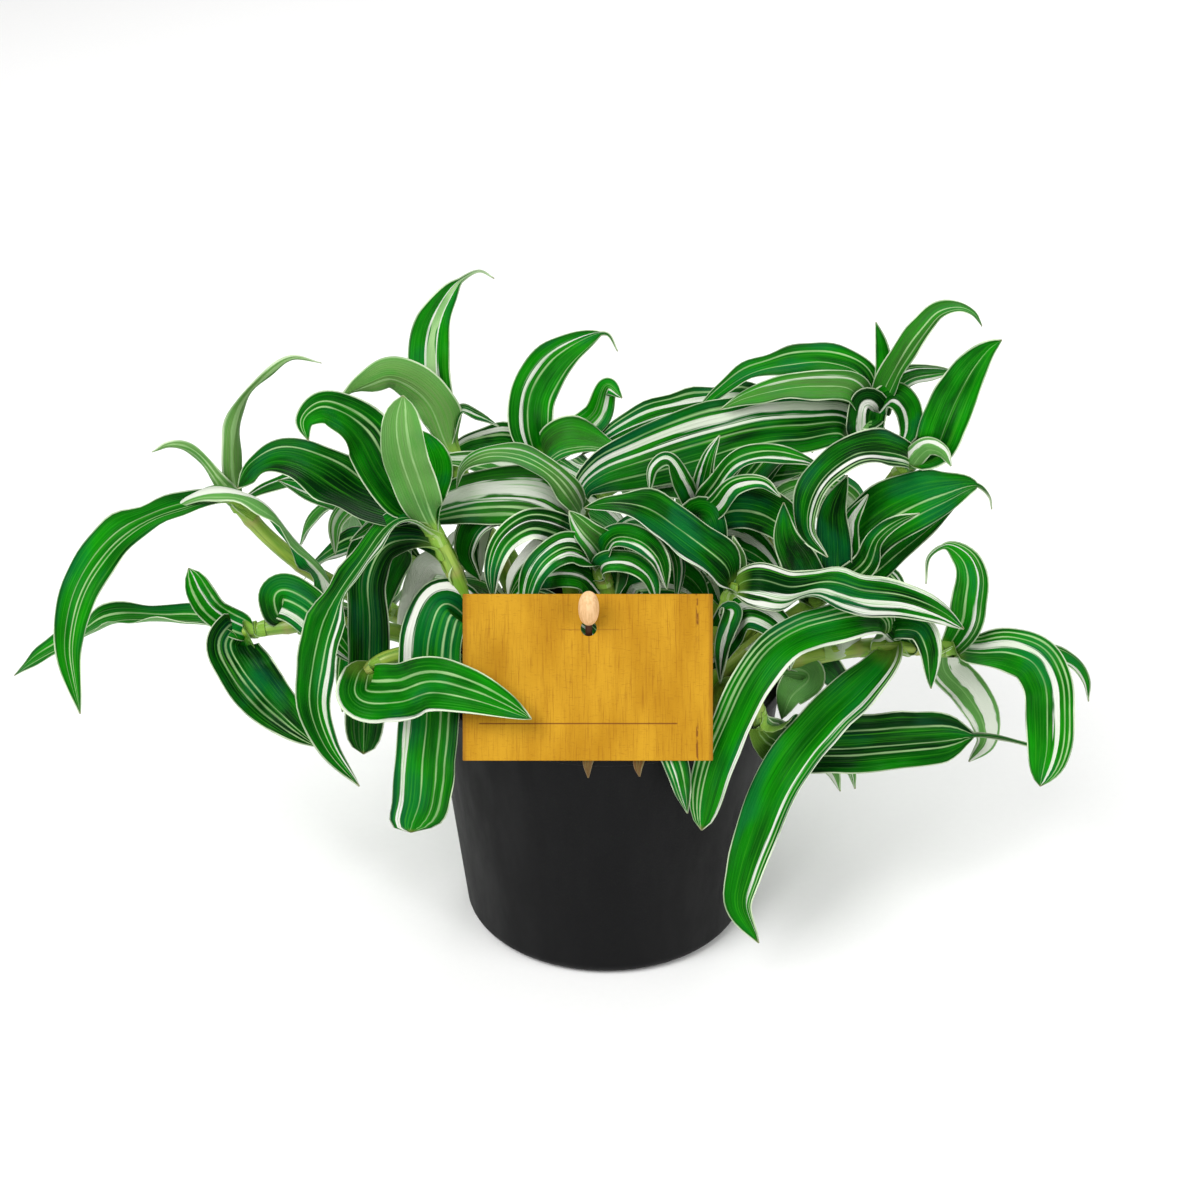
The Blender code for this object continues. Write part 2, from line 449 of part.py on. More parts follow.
def make_soil(feet):
    def inner(z):
        return outer_radius(z) - WALL - GAP - POT_FLAT
    corner = FLOOR_CHAMFER + 0.2
    profile = [(0.0, FLOOR + GAP), (inner(FLOOR) - corner, FLOOR + GAP),
               (inner(FLOOR + corner), FLOOR + corner),
               (inner(SOIL_TOP - SOIL_CHAMFER), SOIL_TOP - SOIL_CHAMFER)]
    edge = inner(SOIL_TOP) - SOIL_CHAMFER_IN
    profile += [(edge * (SOIL_RINGS - k) / SOIL_RINGS, SOIL_TOP) for k in range(SOIL_RINGS)]
    profile.append((0.0, SOIL_TOP))
    verts, faces = turned(profile, SOIL_SIDES)
    verts = [(x, y, soil_height(x, y) if z == SOIL_TOP else z) for x, y, z in verts]
    mesh = mesh_from("soil", verts, faces)
    outward(mesh)
    soil = add_object("soil", mesh, SOIL_MATERIAL)
    drill_verts, drill_faces = [], []

    def drill(radius, low, high, axis):
        hole_verts, hole_faces = turned([(0.0, low), (radius, low), (radius, high), (0.0, high)], HOLE_SIDES)
        start = len(drill_verts)
        drill_verts.extend(tuple(axis @ Vector(v)) for v in hole_verts)
        drill_faces.extend(tuple(start + i for i in face) for face in hole_faces)

    for x, y in feet:
        drill(HOLE_RADIUS, SOIL_TOP - HOLE_DEPTH, SOIL_TOP + 6.0, Matrix.Translation((x, y, 0.0)))
    drill(PEG_HOLE_RADIUS, peg_foot() - PEG_TIP - 1.0, 0.0, peg_axis())
    drill_mesh = mesh_from("hole_cutter", drill_verts, drill_faces)
    outward(drill_mesh)
    cut(soil, add_object("hole_cutter", drill_mesh, SOIL_MATERIAL))
    return soil


def tag_axes():
    # origin at the middle of the lower edge; local x across, y up the board, z out of its front
    up = Vector((0.0, math.sin(TAG_LEAN), math.cos(TAG_LEAN)))
    across = Vector((1.0, 0.0, 0.0))
    frame = Matrix((across, up, across.cross(up))).transposed().to_4x4()
    frame.translation = Vector((TAG_X, TAG_LOW_Y, TAG_LOW_Z))
    return frame


def make_tag():
    frame = tag_axes()
    half_w, half_t = TAG_WIDTH / 2, TAG_THICK / 2
    corners = [(sx * half_w, y, sz * half_t) for sz in (-1, 1) for sx, y in
               ((-1, 0.0), (1, 0.0), (1, TAG_HEIGHT), (-1, TAG_HEIGHT))]
    faces = [(0, 1, 2, 3), (7, 6, 5, 4), (0, 4, 5, 1), (1, 5, 6, 2), (2, 6, 7, 3), (3, 7, 4, 0)]
    mesh = mesh_from("tag", [tuple(frame @ Vector(c)) for c in corners], faces)
    outward(mesh)
    tag = add_object("tag", mesh, TAG_MATERIAL)
    edge = tag.modifiers.new("edge", "BEVEL")
    edge.width = 0.25 * MM
    edge.segments = 1
    verts, faces = turned([(0.0, -4.0), (TAG_HOLE_RADIUS, -4.0), (TAG_HOLE_RADIUS, 4.0), (0.0, 4.0)],
                          TAG_HOLE_SIDES)
    move = frame @ Matrix.Translation((TAG_HOLE_X, TAG_HEIGHT - TAG_HOLE_DROP, 0.0))
    drill_mesh = mesh_from("tag_hole_cutter", [tuple(move @ Vector(v)) for v in verts], faces)
    outward(drill_mesh)
    cut(tag, add_object("tag_hole_cutter", drill_mesh, TAG_MATERIAL))
    return tag


def peg_axis():
    # local z runs up the peg, and its origin is the middle of the tag's hole
    hole = tag_axes() @ Vector((TAG_HOLE_X, TAG_HEIGHT - TAG_HOLE_DROP, 0.0))
    return Matrix.Translation(hole) @ Matrix.Rotation(PEG_LEAN, 4, "X")


def peg_foot():
    return (PEG_FOOT_Z - peg_axis().translation.z) / math.cos(PEG_LEAN)


def make_peg():
    axis, foot = peg_axis(), peg_foot()
    profile = [(0.0, foot - PEG_TIP), (0.7, foot - 0.6 * PEG_TIP), (PEG_RADIUS, foot + 2.0)]
    # the head is a barrel: fuller towards its ends than an ellipse
    start = math.asin((PEG_RADIUS / PEG_HEAD_RADIUS) ** (1 / PEG_HEAD_FULLNESS))
    for k in range(PEG_STEPS):
        angle = start + (math.pi - start) * k / PEG_STEPS
        profile.append((PEG_HEAD_RADIUS * math.sin(angle) ** PEG_HEAD_FULLNESS,
                        PEG_HEAD_OUT - PEG_HEAD_HALF * math.cos(angle)))
    profile.append((0.0, PEG_HEAD_OUT + PEG_HEAD_HALF))
    verts, faces = turned(profile, PEG_SIDES)
    mesh = mesh_from("peg", [tuple(axis @ Vector(v)) for v in verts], faces)
    outward(mesh)
    peg = add_object("peg", mesh, PEG_MATERIAL)
    mesh.shade_smooth()
    mesh.set_sharp_from_angle(angle=math.radians(50))
    return peg


def smooth_path(points, step, bend, least, most, neck=0.0, end=0.0):
    # a rounded curve through the points, then stations along it, closer together where it bends;
    # gives each station's place, its direction and its share of the length
    ends = [2 * points[0] - points[1]] + list(points) + [2 * points[-1] - points[-2]]
    dense = []
    for a, b, c, d in zip(ends, ends[1:], ends[2:], ends[3:]):
        t1 = math.sqrt(np.linalg.norm(b - a))
        t2 = t1 + math.sqrt(np.linalg.norm(c - b))
        t3 = t2 + math.sqrt(np.linalg.norm(d - c))
        for t in np.linspace(t1, t2, PATH_POINTS, endpoint=False):
            ab = (t1 - t) / t1 * a + t / t1 * b
            bc = (t2 - t) / (t2 - t1) * b + (t - t1) / (t2 - t1) * c
            cd = (t3 - t) / (t3 - t2) * c + (t - t2) / (t3 - t2) * d
            abc = (t2 - t) / t2 * ab + t / t2 * bc
            bcd = (t3 - t) / (t3 - t1) * bc + (t - t1) / (t3 - t1) * cd
            dense.append((t2 - t) / (t2 - t1) * abc + (t - t1) / (t2 - t1) * bcd)
    dense = np.array(dense + [points[-1]])
    gaps = np.linalg.norm(np.diff(dense, axis=0), axis=1)
    run = np.concatenate([[0.0], np.cumsum(gaps)])
    along = np.gradient(dense, run, axis=0)
    along /= np.linalg.norm(along, axis=1)[:, None]
    turn = np.arccos(np.clip((along[1:] * along[:-1]).sum(axis=1), -1.0, 1.0))
    weight = np.concatenate([[0.0], np.cumsum(gaps / step + turn / bend)])
    count = min(most, max(least, math.ceil(weight[-1])))
    first = np.interp(neck, run, weight)
    at = np.interp(np.linspace(first, weight[-1], count + 1), weight, run)
    if neck:
        at = np.insert(at, 0, 0.0)
    if end:
        at = np.append(at[:-1], [run[-1] - end, run[-1]]) if at[-2] < run[-1] - 2 * end else at
    stations = np.stack([np.interp(at, run, dense[:, k]) for k in range(3)], axis=1)
    headings = np.stack([np.interp(at, run, along[:, k]) for k in range(3)], axis=1)
    headings /= np.linalg.norm(headings, axis=1)[:, None]
    return stations, headings, at / run[-1], run[-1]


def tube(stations, radii, sides):
    along = np.gradient(stations, axis=0)
    along /= np.linalg.norm(along, axis=1)[:, None]
    across = unit(np.cross(along[0], [0.3, 1.0, 0.1]))
    verts, faces = [], []
    for p, t, r in zip(stations, along, radii):
        across = unit(across - t * (across @ t))
        other = np.cross(t, across)
        for k in range(sides):
            angle = 2 * math.pi * k / sides
            verts.append(p + r * (math.cos(angle) * across + math.sin(angle) * other))
    for i in range(len(stations) - 1):
        for k in range(sides):
            a, b = i * sides + k, i * sides + (k + 1) % sides
            faces += [(a, b, b + sides), (a, b + sides, a + sides)]
    last = (len(stations) - 1) * sides
    faces.append(tuple(reversed(range(sides))))
    faces.append(tuple(range(last, last + sides)))
    return verts, faces


def blade_width(u, neck, spec):
    # a narrow neck as far as the stem's skin, then the blade, widest at its peak
    grown = min(1.0, max(0.0, u - neck) / (spec["peak"] - neck * 0.5))
    v = min(1.0, max(0.0, (u - TAPER_FROM) / (1 - TAPER_FROM - spec["tail"])))
    blade_part = spec["width"] * math.sin(math.pi / 2 * grown) * (1 - v ** spec["blunt"]) ** 0.8
    return max(NECK_WIDTH if u < TAPER_FROM else BLADE_TIP, blade_part)


def blade(curve, spec, reference, grow=0.0, first=0):
    # six points round each section: the upper face's edge, rib and edge, then the lower face's
    stations, headings, shares, length = curve
    sign = 1.0 if stations[-1][0] < stations[0][0] else -1.0
    last = len(stations) - 1
    verts, faces = [], []
    for i in range(first, last + 1):
        p, t, u = stations[i], headings[i], shares[i]
        look = unit(VIEWPOINT - p) if reference is None else reference
        normal = unit(look - t * (look @ t))
        roll = math.radians(np.interp(u, np.linspace(0, 1, len(spec["rolls"])), spec["rolls"])) * sign
        normal = math.cos(roll) * normal + math.sin(roll) * np.cross(t, normal)
        across = np.cross(t, normal) + t * spec["slant"] * max(0.0, 1 - length * (1 - u) / SLANT_RUN)
        scale = 1 + p[1] / VIEW_DISTANCE if reference is None else 1.0
        half = scale * blade_width(u, NECK_RUN / length, spec) / 2 + grow
        fold = math.radians(spec["fold"])
        ripple = spec["wave"] * math.sin(math.pi * u) * math.sin(WAVES * math.pi * u)
        left = p - across * half * math.cos(fold) + normal * (half * math.sin(fold) + ripple)
        right = p + across * half * math.cos(fold) + normal * (half * math.sin(fold) - ripple)
        thick = normal * (BLADE_THICK / 2 + grow)
        verts += [left + thick, p + thick, right + thick, right - thick, p - thick, left - thick]
    rows = last - first
    for i in range(rows):
        a = 6 * i
        b = a + 6
        for k in (0, 1):
            faces += [(a + k, a + k + 1, b + k + 1), (a + k, b + k + 1, b + k)]
            under, next_under = 5 - k, 4 - k
            faces += [(a + under, b + next_under, a + next_under), (a + under, b + under, b + next_under)]
        faces += [(a + 2, a + 3, b + 3), (a + 2, b + 3, b + 2), (a + 5, a, b), (a + 5, b, b + 5)]
    end = 6 * rows
    faces += [(0, 4, 1), (0, 5, 4), (1, 3, 2), (1, 4, 3)]
    faces += [(end, end + 1, end + 4), (end, end + 4, end + 5), (end + 1, end + 2, end + 3),
              (end + 1, end + 3, end + 4)]
    return verts, faces


def tree_of(shape):
    verts, faces = shape
    return BVHTree.FromPolygons([tuple(v) for v in verts], faces, all_triangles=False)


def box_of(shape):
    verts = np.array(shape[0])
    return verts.min(axis=0), verts.max(axis=0)


def boxes_meet(a, b):
    return bool(np.all(a[0] <= b[1]) and np.all(b[0] <= a[1]))


OBSTACLES = []


def remember(owner, shape, sibling_shape=None):
    OBSTACLES.append((owner, tree_of(shape), box_of(shape),
                      tree_of(sibling_shape) if sibling_shape else None,
                      box_of(sibling_shape) if sibling_shape else None))


def is_clear(owner, shape, sibling_shape):
    if min(v[2] for v in shape[0]) < TABLE_CLEARANCE:
        return False
    tree, box = tree_of(shape), box_of(shape)
    sibling_tree, sibling_box = tree_of(sibling_shape), box_of(sibling_shape)
    for name, other, other_box, other_sibling, other_sibling_box in OBSTACLES:
        if name == owner:
            if other_sibling and boxes_meet(sibling_box, other_sibling_box) and \
                    sibling_tree.overlap(other_sibling):
                return False
        elif boxes_meet(box, other_box) and tree.overlap(other):
            return False
    return True


def stem_stations(foot, points):
    x, y = foot
    low = SOIL_TOP - HOLE_DEPTH + STEM_FOOT
    start = [np.array([x, y, SOIL_TOP + STEM_STRAIGHT])] + [placed(p) for p in points]
    stations = smooth_path(start, STEM_STEP, STEM_BEND, 3, 6)[0]
    return np.concatenate([[np.array([x, y, low])], stations])


def stem_radii(count):
    return [STEM_RADIUS] * 2 + list(np.linspace(STEM_RADIUS, STEM_TOP_RADIUS, count - 2))


def point_on(stations, fraction, back=0.0):
    run = np.concatenate([[0.0], np.cumsum(np.linalg.norm(np.diff(stations, axis=0), axis=1))])
    at = max(0.0, fraction * run[-1] - back)
    return np.array([np.interp(at, run, stations[:, k]) for k in range(3)])


def leaf_curve(stem, spec, path, most):
    root = [point_on(stem, spec["at"], ROOT_DEPTH + 1.5), point_on(stem, spec["at"], 1.5)]
    end = BLUNT_END if spec["blunt"] >= BLUNT_FROM else 0.0
    most -= spec["width"] < SMALL_WIDTH
    return smooth_path(root + path, BLADE_STEP, BLADE_BEND, 4, most, NECK_RUN, end)


def try_leaf(owner, stem, spec, path, reference):
    curve = leaf_curve(stem, spec, path, BLADE_MOST if reference is None else FILL_MOST)
    free = min(len(curve[2]) - 3, max(1, int(np.searchsorted(curve[2] * curve[3], FREE_FROM))))
    grown = blade(curve, spec, reference, CLEARANCE)
    if reference is not None and not hidden(grown[0]):
        return None
    if is_clear(owner, grown, blade(curve, spec, reference, CLEARANCE, free)):
        return blade(curve, spec, reference), blade(curve, spec, reference, 0.0, free)
    return None


def bend_clear(owner, stem, spec):
    # the same leaf seen from the viewpoint, moved nearer or further until it crosses nothing
    shifts = [0.0] + [sign * spec["side"] * SHIFT_STEP * k for k in range(1, SHIFT_TRIES) for sign in (1, -1)]
    for shift in shifts:
        path = [placed((x, z, near + shift * min(1.0, (i + 1) / 2)))
                for i, (x, z, near) in enumerate(spec["points"])]
        found = try_leaf(owner, stem, spec, path, None)
        if found:
            return found
    return None


def hidden(points):
    # seen from the viewpoint, every point is behind what stands in front
    for p in points:
        line = p - VIEWPOINT
        x, z = (VIEWPOINT + line * (-VIEWPOINT[1] / line[1]))[[0, 2]]
        inside = False
        for (xa, za), (xb, zb) in zip(FILL_WINDOW, FILL_WINDOW[1:] + FILL_WINDOW[:1]):
            if (za > z) != (zb > z) and x < xa + (xb - xa) * (z - za) / (zb - za):
                inside = not inside
        if not inside:
            return False
    return True


def arching_path(start, azimuth, climb, droop, length):
    heading = np.array([math.cos(azimuth), math.sin(azimuth), 0.0])
    points, here, steps = [], np.array(start), 6
    for k in range(steps):
        slope = climb + (droop - climb) * ((k + 0.5) / steps) ** 0.8
        here = here + (heading * math.cos(slope) + np.array([0.0, 0.0, math.sin(slope)])) * length / steps
        points.append(here)
    return points


def fill_leaf(owner, stem, sector, rng):
    up = np.array([0.0, 0.0, 1.0])
    for k in range(FILL_TRIES):
        spec = leaf(rng.uniform(0.8, 1.0), rng.uniform(*FILL_WIDTHS), [],
                    rolls=(rng.uniform(-12, 12), rng.uniform(-25, 25)), fold=rng.uniform(10, 24))
        path = arching_path(point_on(stem, spec["at"], 1.5), math.radians(rng.uniform(*sector)),
                            math.radians(rng.uniform(*FILL_CLIMB)), math.radians(rng.uniform(*FILL_DROOP)),
                            rng.uniform(*FILL_LENGTHS) * (1 - 0.4 * k / FILL_TRIES))
        found = try_leaf(owner, stem, spec, path, up)
        if found:
            return found
    return None


def keep_body(work):
    # a pocket closed in between the leaves' roots is filled, by taking out its walls, which face inwards;
    # a loose scrap under a cubic millimetre goes too
    left = set(work.faces)
    while left:
        reached = [left.pop()]
        for face in reached:
            for edge in face.edges:
                for other in edge.link_faces:
                    if other in left:
                        left.remove(other)
                        reached.append(other)
        origin = reached[0].verts[0].co.copy()
        volume = 0.0
        for face in reached:
            arms = [v.co - origin for v in face.verts]
            volume += sum(arms[0].dot(a.cross(b)) for a, b in zip(arms[1:], arms[2:]))
        if volume / 6 <= MM ** 3:
            bmesh.ops.delete(work, geom=reached, context="FACES")


def is_sound(work):
    # every edge still has two faces once corners closer than WELD are one
    welded = work.copy()
    bmesh.ops.triangulate(welded, faces=welded.faces)
    bmesh.ops.remove_doubles(welded, verts=welded.verts, dist=WELD * MM)
    sound = all(len(edge.link_faces) == 2 for edge in welded.edges)
    welded.free()
    return sound


def union_node(name, shapes):
    # the stem, joined with every leaf in one union; the leaves' own objects are then removed
    group = bpy.data.collections.new(name + "_leaves")
    bpy.context.scene.collection.children.link(group)
    stem = add_object(name, mesh_from(name, *shapes[0]), LEAF_MATERIAL)
    for shape in shapes[1:]:
        mesh = mesh_from(name + "_leaf", *shape)
        obj = bpy.data.objects.new(name + "_leaf", mesh)
        mesh.materials.append(LEAF_MATERIAL)
        group.objects.link(obj)
    join = stem.modifiers.new("join", "BOOLEAN")
    join.operation = "UNION"
    join.operand_type = "COLLECTION"
    join.collection = group
    for solver in ("EXACT", "MANIFOLD"):
        join.solver = solver
        graph = bpy.context.evaluated_depsgraph_get()
        joined = bpy.data.meshes.new_from_object(stem.evaluated_get(graph), depsgraph=graph)
        work = bmesh.new()
        work.from_mesh(joined)
        keep_body(work)
        work.to_mesh(joined)
        sound = is_sound(work)
        work.free()
        if sound:
            break
        print("joined again:", name, solver)
    stem.modifiers.clear()
    plain = stem.data
    stem.data = joined
    joined.name = name
    for obj in list(group.objects):
        bpy.data.objects.remove(obj, do_unlink=True)
    bpy.data.collections.remove(group)
    bpy.data.meshes.remove(plain)
    return stem


def world_shape(obj):
    graph = bpy.context.evaluated_depsgraph_get()
    mesh = obj.evaluated_get(graph).to_mesh()
    verts = [tuple(np.array(obj.matrix_world @ v.co) / MM) for v in mesh.vertices]
    return verts, [tuple(p.vertices) for p in mesh.polygons]


feet = [shoot[1] for shoot in SHOOTS] + [shoot[1] for shoot in FILL_SHOOTS]
for fixed in (make_pot(), make_soil(feet), make_tag(), make_peg()):
    bpy.context.view_layer.update()
    if fixed.name != "soil":
        remember(fixed.name, world_shape(fixed))
soil_guard = turned([(0.0, SOIL_TOP - 4.0), (RIM_RADIUS - 6.0, SOIL_TOP - 4.0),
                     (RIM_RADIUS - 6.0, SOIL_TOP + SOIL_BUMP + 1.2), (0.0, SOIL_TOP + SOIL_BUMP + 1.2)], 24)

stems = {}
for name, foot, points, leaves in SHOOTS:
    stems[name] = stem_stations(foot, points)
for name, foot, top, count, sector in FILL_SHOOTS:
    middle = np.array([*foot, SOIL_TOP]) * (1 - FILL_MIDDLE) + np.array(top) * FILL_MIDDLE
    path = smooth_path([np.array([*foot, SOIL_TOP + STEM_STRAIGHT]), middle, np.array(top)],
                       STEM_STEP, STEM_BEND, 3, 5)[0]
    stems[name] = np.concatenate([[np.array([*foot, SOIL_TOP - HOLE_DEPTH + STEM_FOOT])], path])
for name, stations in stems.items():
    radii = stem_radii(len(stations))
    remember(name, tube(stations, [r + CLEARANCE for r in radii], STEM_SIDES))
remember("soil", soil_guard)

shapes = {name: [tube(stations, stem_radii(len(stations)), STEM_SIDES)] for name, stations in stems.items()}
for name, foot, points, leaves in SHOOTS:
    for number, spec in enumerate(leaves):
        found = bend_clear(name, stems[name], spec)
        if found is None:
            print("no clear place:", name, number)
            continue
        shape, free_shape = found
        remember(name, shape, free_shape)
        shapes[name].append(shape)
rng = np.random.default_rng(FILL_SEED)
for name, foot, top, count, sector in FILL_SHOOTS:
    for number in range(count):
        low = sector[0] + (sector[1] - sector[0]) * number / count
        found = fill_leaf(name, stems[name], (low, low + (sector[1] - sector[0]) / count), rng)
        if found is None:
            print("no clear place:", name, number)
            continue
        shape, free_shape = found
        remember(name, shape, free_shape)
        shapes[name].append(shape)
for name, parts in shapes.items():
    union_node(name, parts)
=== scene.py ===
import math

import bmesh
import bpy
import numpy as np
from mathutils import Matrix, Vector
from mathutils.kdtree import KDTree


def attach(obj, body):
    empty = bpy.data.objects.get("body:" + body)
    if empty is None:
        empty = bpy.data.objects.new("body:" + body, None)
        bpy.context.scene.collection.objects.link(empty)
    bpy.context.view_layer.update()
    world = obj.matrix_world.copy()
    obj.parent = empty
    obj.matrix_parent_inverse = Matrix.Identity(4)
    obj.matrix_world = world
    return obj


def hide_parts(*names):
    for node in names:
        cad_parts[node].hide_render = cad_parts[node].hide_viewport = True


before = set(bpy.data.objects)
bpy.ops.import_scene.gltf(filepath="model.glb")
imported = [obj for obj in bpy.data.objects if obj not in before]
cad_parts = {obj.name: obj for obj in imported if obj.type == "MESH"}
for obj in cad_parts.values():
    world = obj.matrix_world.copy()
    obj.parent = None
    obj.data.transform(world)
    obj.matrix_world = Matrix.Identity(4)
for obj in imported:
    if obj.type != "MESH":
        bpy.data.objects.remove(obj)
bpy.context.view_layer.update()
print("frame loaded")

mm = 0.001


def newObject(name, data):
    made = bpy.data.objects.new(name, data)
    bpy.context.scene.collection.objects.link(made)
    return made


def evaluatedMesh(name, carrier):
    graph = bpy.context.evaluated_depsgraph_get()
    result = bpy.data.meshes.new_from_object(carrier.evaluated_get(graph), depsgraph=graph)
    result.name = name
    return result


def addPiece(name, mesh, node):
    piece = newObject(name, mesh)
    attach(piece, "root")
    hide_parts(node)
    return piece


def addNode(tree, kind, inputs=None, **settings):
    made = tree.nodes.new(kind)
    for key, value in settings.items():
        setattr(made, key, value)
    for key, value in (inputs or {}).items():
        if isinstance(value, bpy.types.NodeSocket):
            tree.links.new(value, made.inputs[key])
        else:
            made.inputs[key].default_value = value
    return made


def treeOf(*values):
    # a new node goes into the tree of the sockets that it reads
    return next(value.id_data for value in values if isinstance(value, bpy.types.NodeSocket))


def calc(operation, *values, clamp=False):
    return addNode(treeOf(*values), "ShaderNodeMath", dict(enumerate(values)), operation=operation,
                   use_clamp=clamp).outputs[0]


def times(a, b, clamp=False):
    return calc("MULTIPLY", a, b, clamp=clamp)


def plus(a, b, clamp=False):
    return calc("ADD", a, b, clamp=clamp)


def minus(a, b):
    return calc("SUBTRACT", a, b)


def timesPlus(a, b, c, clamp=False):
    return calc("MULTIPLY_ADD", a, b, c, clamp=clamp)


def absolute(a):
    return calc("ABSOLUTE", a)


def most(first, *others):
    for other in others:
        first = calc("MAXIMUM", first, other)
    return first


def partsOf(vector):
    return addNode(vector.id_data, "ShaderNodeSeparateXYZ", {0: vector}).outputs


def joined(tree, x, y, z=0.0):
    return addNode(tree, "ShaderNodeCombineXYZ", {0: x, 1: y, 2: z}).outputs[0]


def scaled(vector, x, y, z):
    return addNode(vector.id_data, "ShaderNodeVectorMath", {0: vector, 1: (x, y, z)},
                   operation="MULTIPLY").outputs[0]


def noiseOf(vector, scale, detail=2.0, roughness=0.5):
    return addNode(vector.id_data, "ShaderNodeTexNoise", {
        "Vector": vector, "Scale": scale, "Detail": detail, "Roughness": roughness}).outputs[0]


def fade(value, low, high, start=0.0, end=1.0):
    return addNode(value.id_data, "ShaderNodeMapRange", {
        "Value": value, "From Min": low, "From Max": high, "To Min": start, "To Max": end},
        interpolation_type="SMOOTHSTEP").outputs[0]


def mixed(factor, a, b):
    node = addNode(treeOf(factor, a, b), "ShaderNodeMix", data_type="RGBA")
    slots = [s for s in node.inputs if s.enabled]
    for socket, value in zip(slots, (factor, a, b)):
        if isinstance(value, bpy.types.NodeSocket):
            node.id_data.links.new(value, socket)
        else:
            socket.default_value = (*value, 1.0) if isinstance(value, tuple) else value
    return [s for s in node.outputs if s.enabled][0]


def layered(colour, *layers):
    # each layer is (how much of it shows, its colour)
    for factor, top in layers:
        colour = mixed(factor, colour, top)
    return colour


def readAttribute(tree, name, output="Fac"):
    return addNode(tree, "ShaderNodeAttribute", attribute_name=name).outputs[output]


def objectPlace(tree):
    return addNode(tree, "ShaderNodeTexCoord").outputs["Object"]


def newMaterial(name, values):
    material = bpy.data.materials.new(name)
    material.use_nodes = True
    for label, value in values.items():
        material.node_tree.nodes["Principled BSDF"].inputs[label].default_value = value
    return material, material.node_tree


def dressed(material, colour, height=None, strength=0.0, distance=0.0, roughness=None):
    # joins a colour, bumps and a roughness to the material's shader
    tree = material.node_tree
    joins = {"Base Color": colour, "Roughness": roughness}
    if height is not None:
        joins["Normal"] = addNode(tree, "ShaderNodeBump", {
            "Height": height, "Strength": strength, "Distance": distance}).outputs[0]
    for label, socket in joins.items():
        if socket is not None:
            tree.links.new(socket, tree.nodes["Principled BSDF"].inputs[label])
    return material


def newTree(name, sockets):
    # a geometry tree, its geometry input and its named inputs
    tree = bpy.data.node_groups.new(name, "GeometryNodeTree")
    for label, kind in {"Geometry": "Geometry", **sockets}.items():
        tree.interface.new_socket(label, in_out="INPUT", socket_type="NodeSocket" + kind)
    tree.interface.new_socket("Geometry", in_out="OUTPUT", socket_type="NodeSocketGeometry")
    return tree, *tree.nodes.new("NodeGroupInput").outputs[:len(sockets) + 1]


def geoNode(tree, kind, inputs=None, **settings):
    return addNode(tree, "GeometryNode" + kind, inputs, **settings).outputs[0]


def readNamed(tree, name, kind="FLOAT"):
    return geoNode(tree, "InputNamedAttribute", {"Name": name}, data_type=kind)


def storeNamed(geometry, name, value, kind="FLOAT", domain="POINT"):
    return geoNode(geometry.id_data, "StoreNamedAttribute", {
        "Geometry": geometry, "Name": name, "Value": value}, data_type=kind, domain=domain)


def endTree(geometry, finish):
    tree = geometry.id_data
    real = geoNode(tree, "RealizeInstances", {0: geometry})
    painted = geoNode(tree, "SetMaterial", {"Geometry": real, "Material": finish})
    tree.links.new(painted, tree.nodes.new("NodeGroupOutput").inputs[0])
    return tree


def nodesToMesh(name, mesh, tree, values, drop=()):
    # runs a tree on a mesh and returns the plain mesh that comes out
    carrier = newObject(name + "_path", mesh)
    change = carrier.modifiers.new("shape", "NODES")
    change.node_group = tree
    for item in tree.interface.items_tree:
        if item.item_type == "SOCKET" and item.in_out == "INPUT" and item.name in values:
            change[item.identifier] = values[item.name]
    result = evaluatedMesh(name, carrier)
    carrier.modifiers.remove(change)
    bpy.data.objects.remove(carrier)
    for attribute in drop:
        if attribute in result.attributes:
            result.attributes.remove(result.attributes[attribute])
    return result


def setAttribute(mesh, name, values):
    values = np.asarray(values, dtype=np.float32)
    kind, field = ("FLOAT", "value") if values.ndim == 1 else ("FLOAT_VECTOR", "vector")
    mesh.attributes.new(name, kind, "POINT").data.foreach_set(field, values.ravel())


def setPlaces(mesh, name, axes):
    # keeps each vertex's place in mm along a piece's own axes, for its grain
    back = axes.inverted() @ Matrix.Scale(1 / mm, 4)
    setAttribute(mesh, name, [tuple(back @ v.co) for v in mesh.vertices])


def turnedMesh(name, profile, sides, place=None):
    # a closed profile of (radius, z) turned round the Z axis; radius 0 makes a pole
    work = bmesh.new()
    rings = []
    for radius, z in profile:
        turns = [2 * math.pi * k / sides for k in range(1 if radius == 0.0 else sides)]
        rings.append([work.verts.new((radius * math.cos(t), radius * math.sin(t), z)) for t in turns])
    for a, b in zip(rings, rings[1:] + rings[:1]):
        for k in range(sides):
            n = (k + 1) % sides
            corners = [a[k % len(a)], a[n % len(a)], b[n % len(b)], b[k % len(b)]]
            corners = [v for i, v in enumerate(corners) if v not in corners[:i]]
            if len(corners) > 2:
                work.faces.new(corners)
    work.transform((Matrix.Scale(mm, 4) @ place) if place else Matrix.Scale(mm, 4))
    bmesh.ops.recalc_face_normals(work, faces=work.faces)
    mesh = bpy.data.meshes.new(name)
    work.to_mesh(mesh)
    work.free()
    return mesh


def rodMesh(name, radius, low, high, sides, place):
    return turnedMesh(name, [(0.0, low), (radius, low), (radius, high), (0.0, high)], sides, place)


def drilled(name, mesh, cutters, bevel=0.0):
    # the mesh with the cutters taken out of it, as one plain mesh
    work = newObject(name + "_work", mesh)
    tools = []
    if bevel:
        edge = work.modifiers.new("edge", "BEVEL")
        edge.width = bevel
        edge.segments = 3
    for cutter in cutters:
        tools.append(newObject(name + "_cutter", cutter))
        cut = work.modifiers.new("cut", "BOOLEAN")
        cut.operation = "DIFFERENCE"
        cut.solver = "EXACT"
        cut.object = tools[-1]
    result = evaluatedMesh(name, work)
    for used in [work] + tools:
        bpy.data.objects.remove(used)
    return result


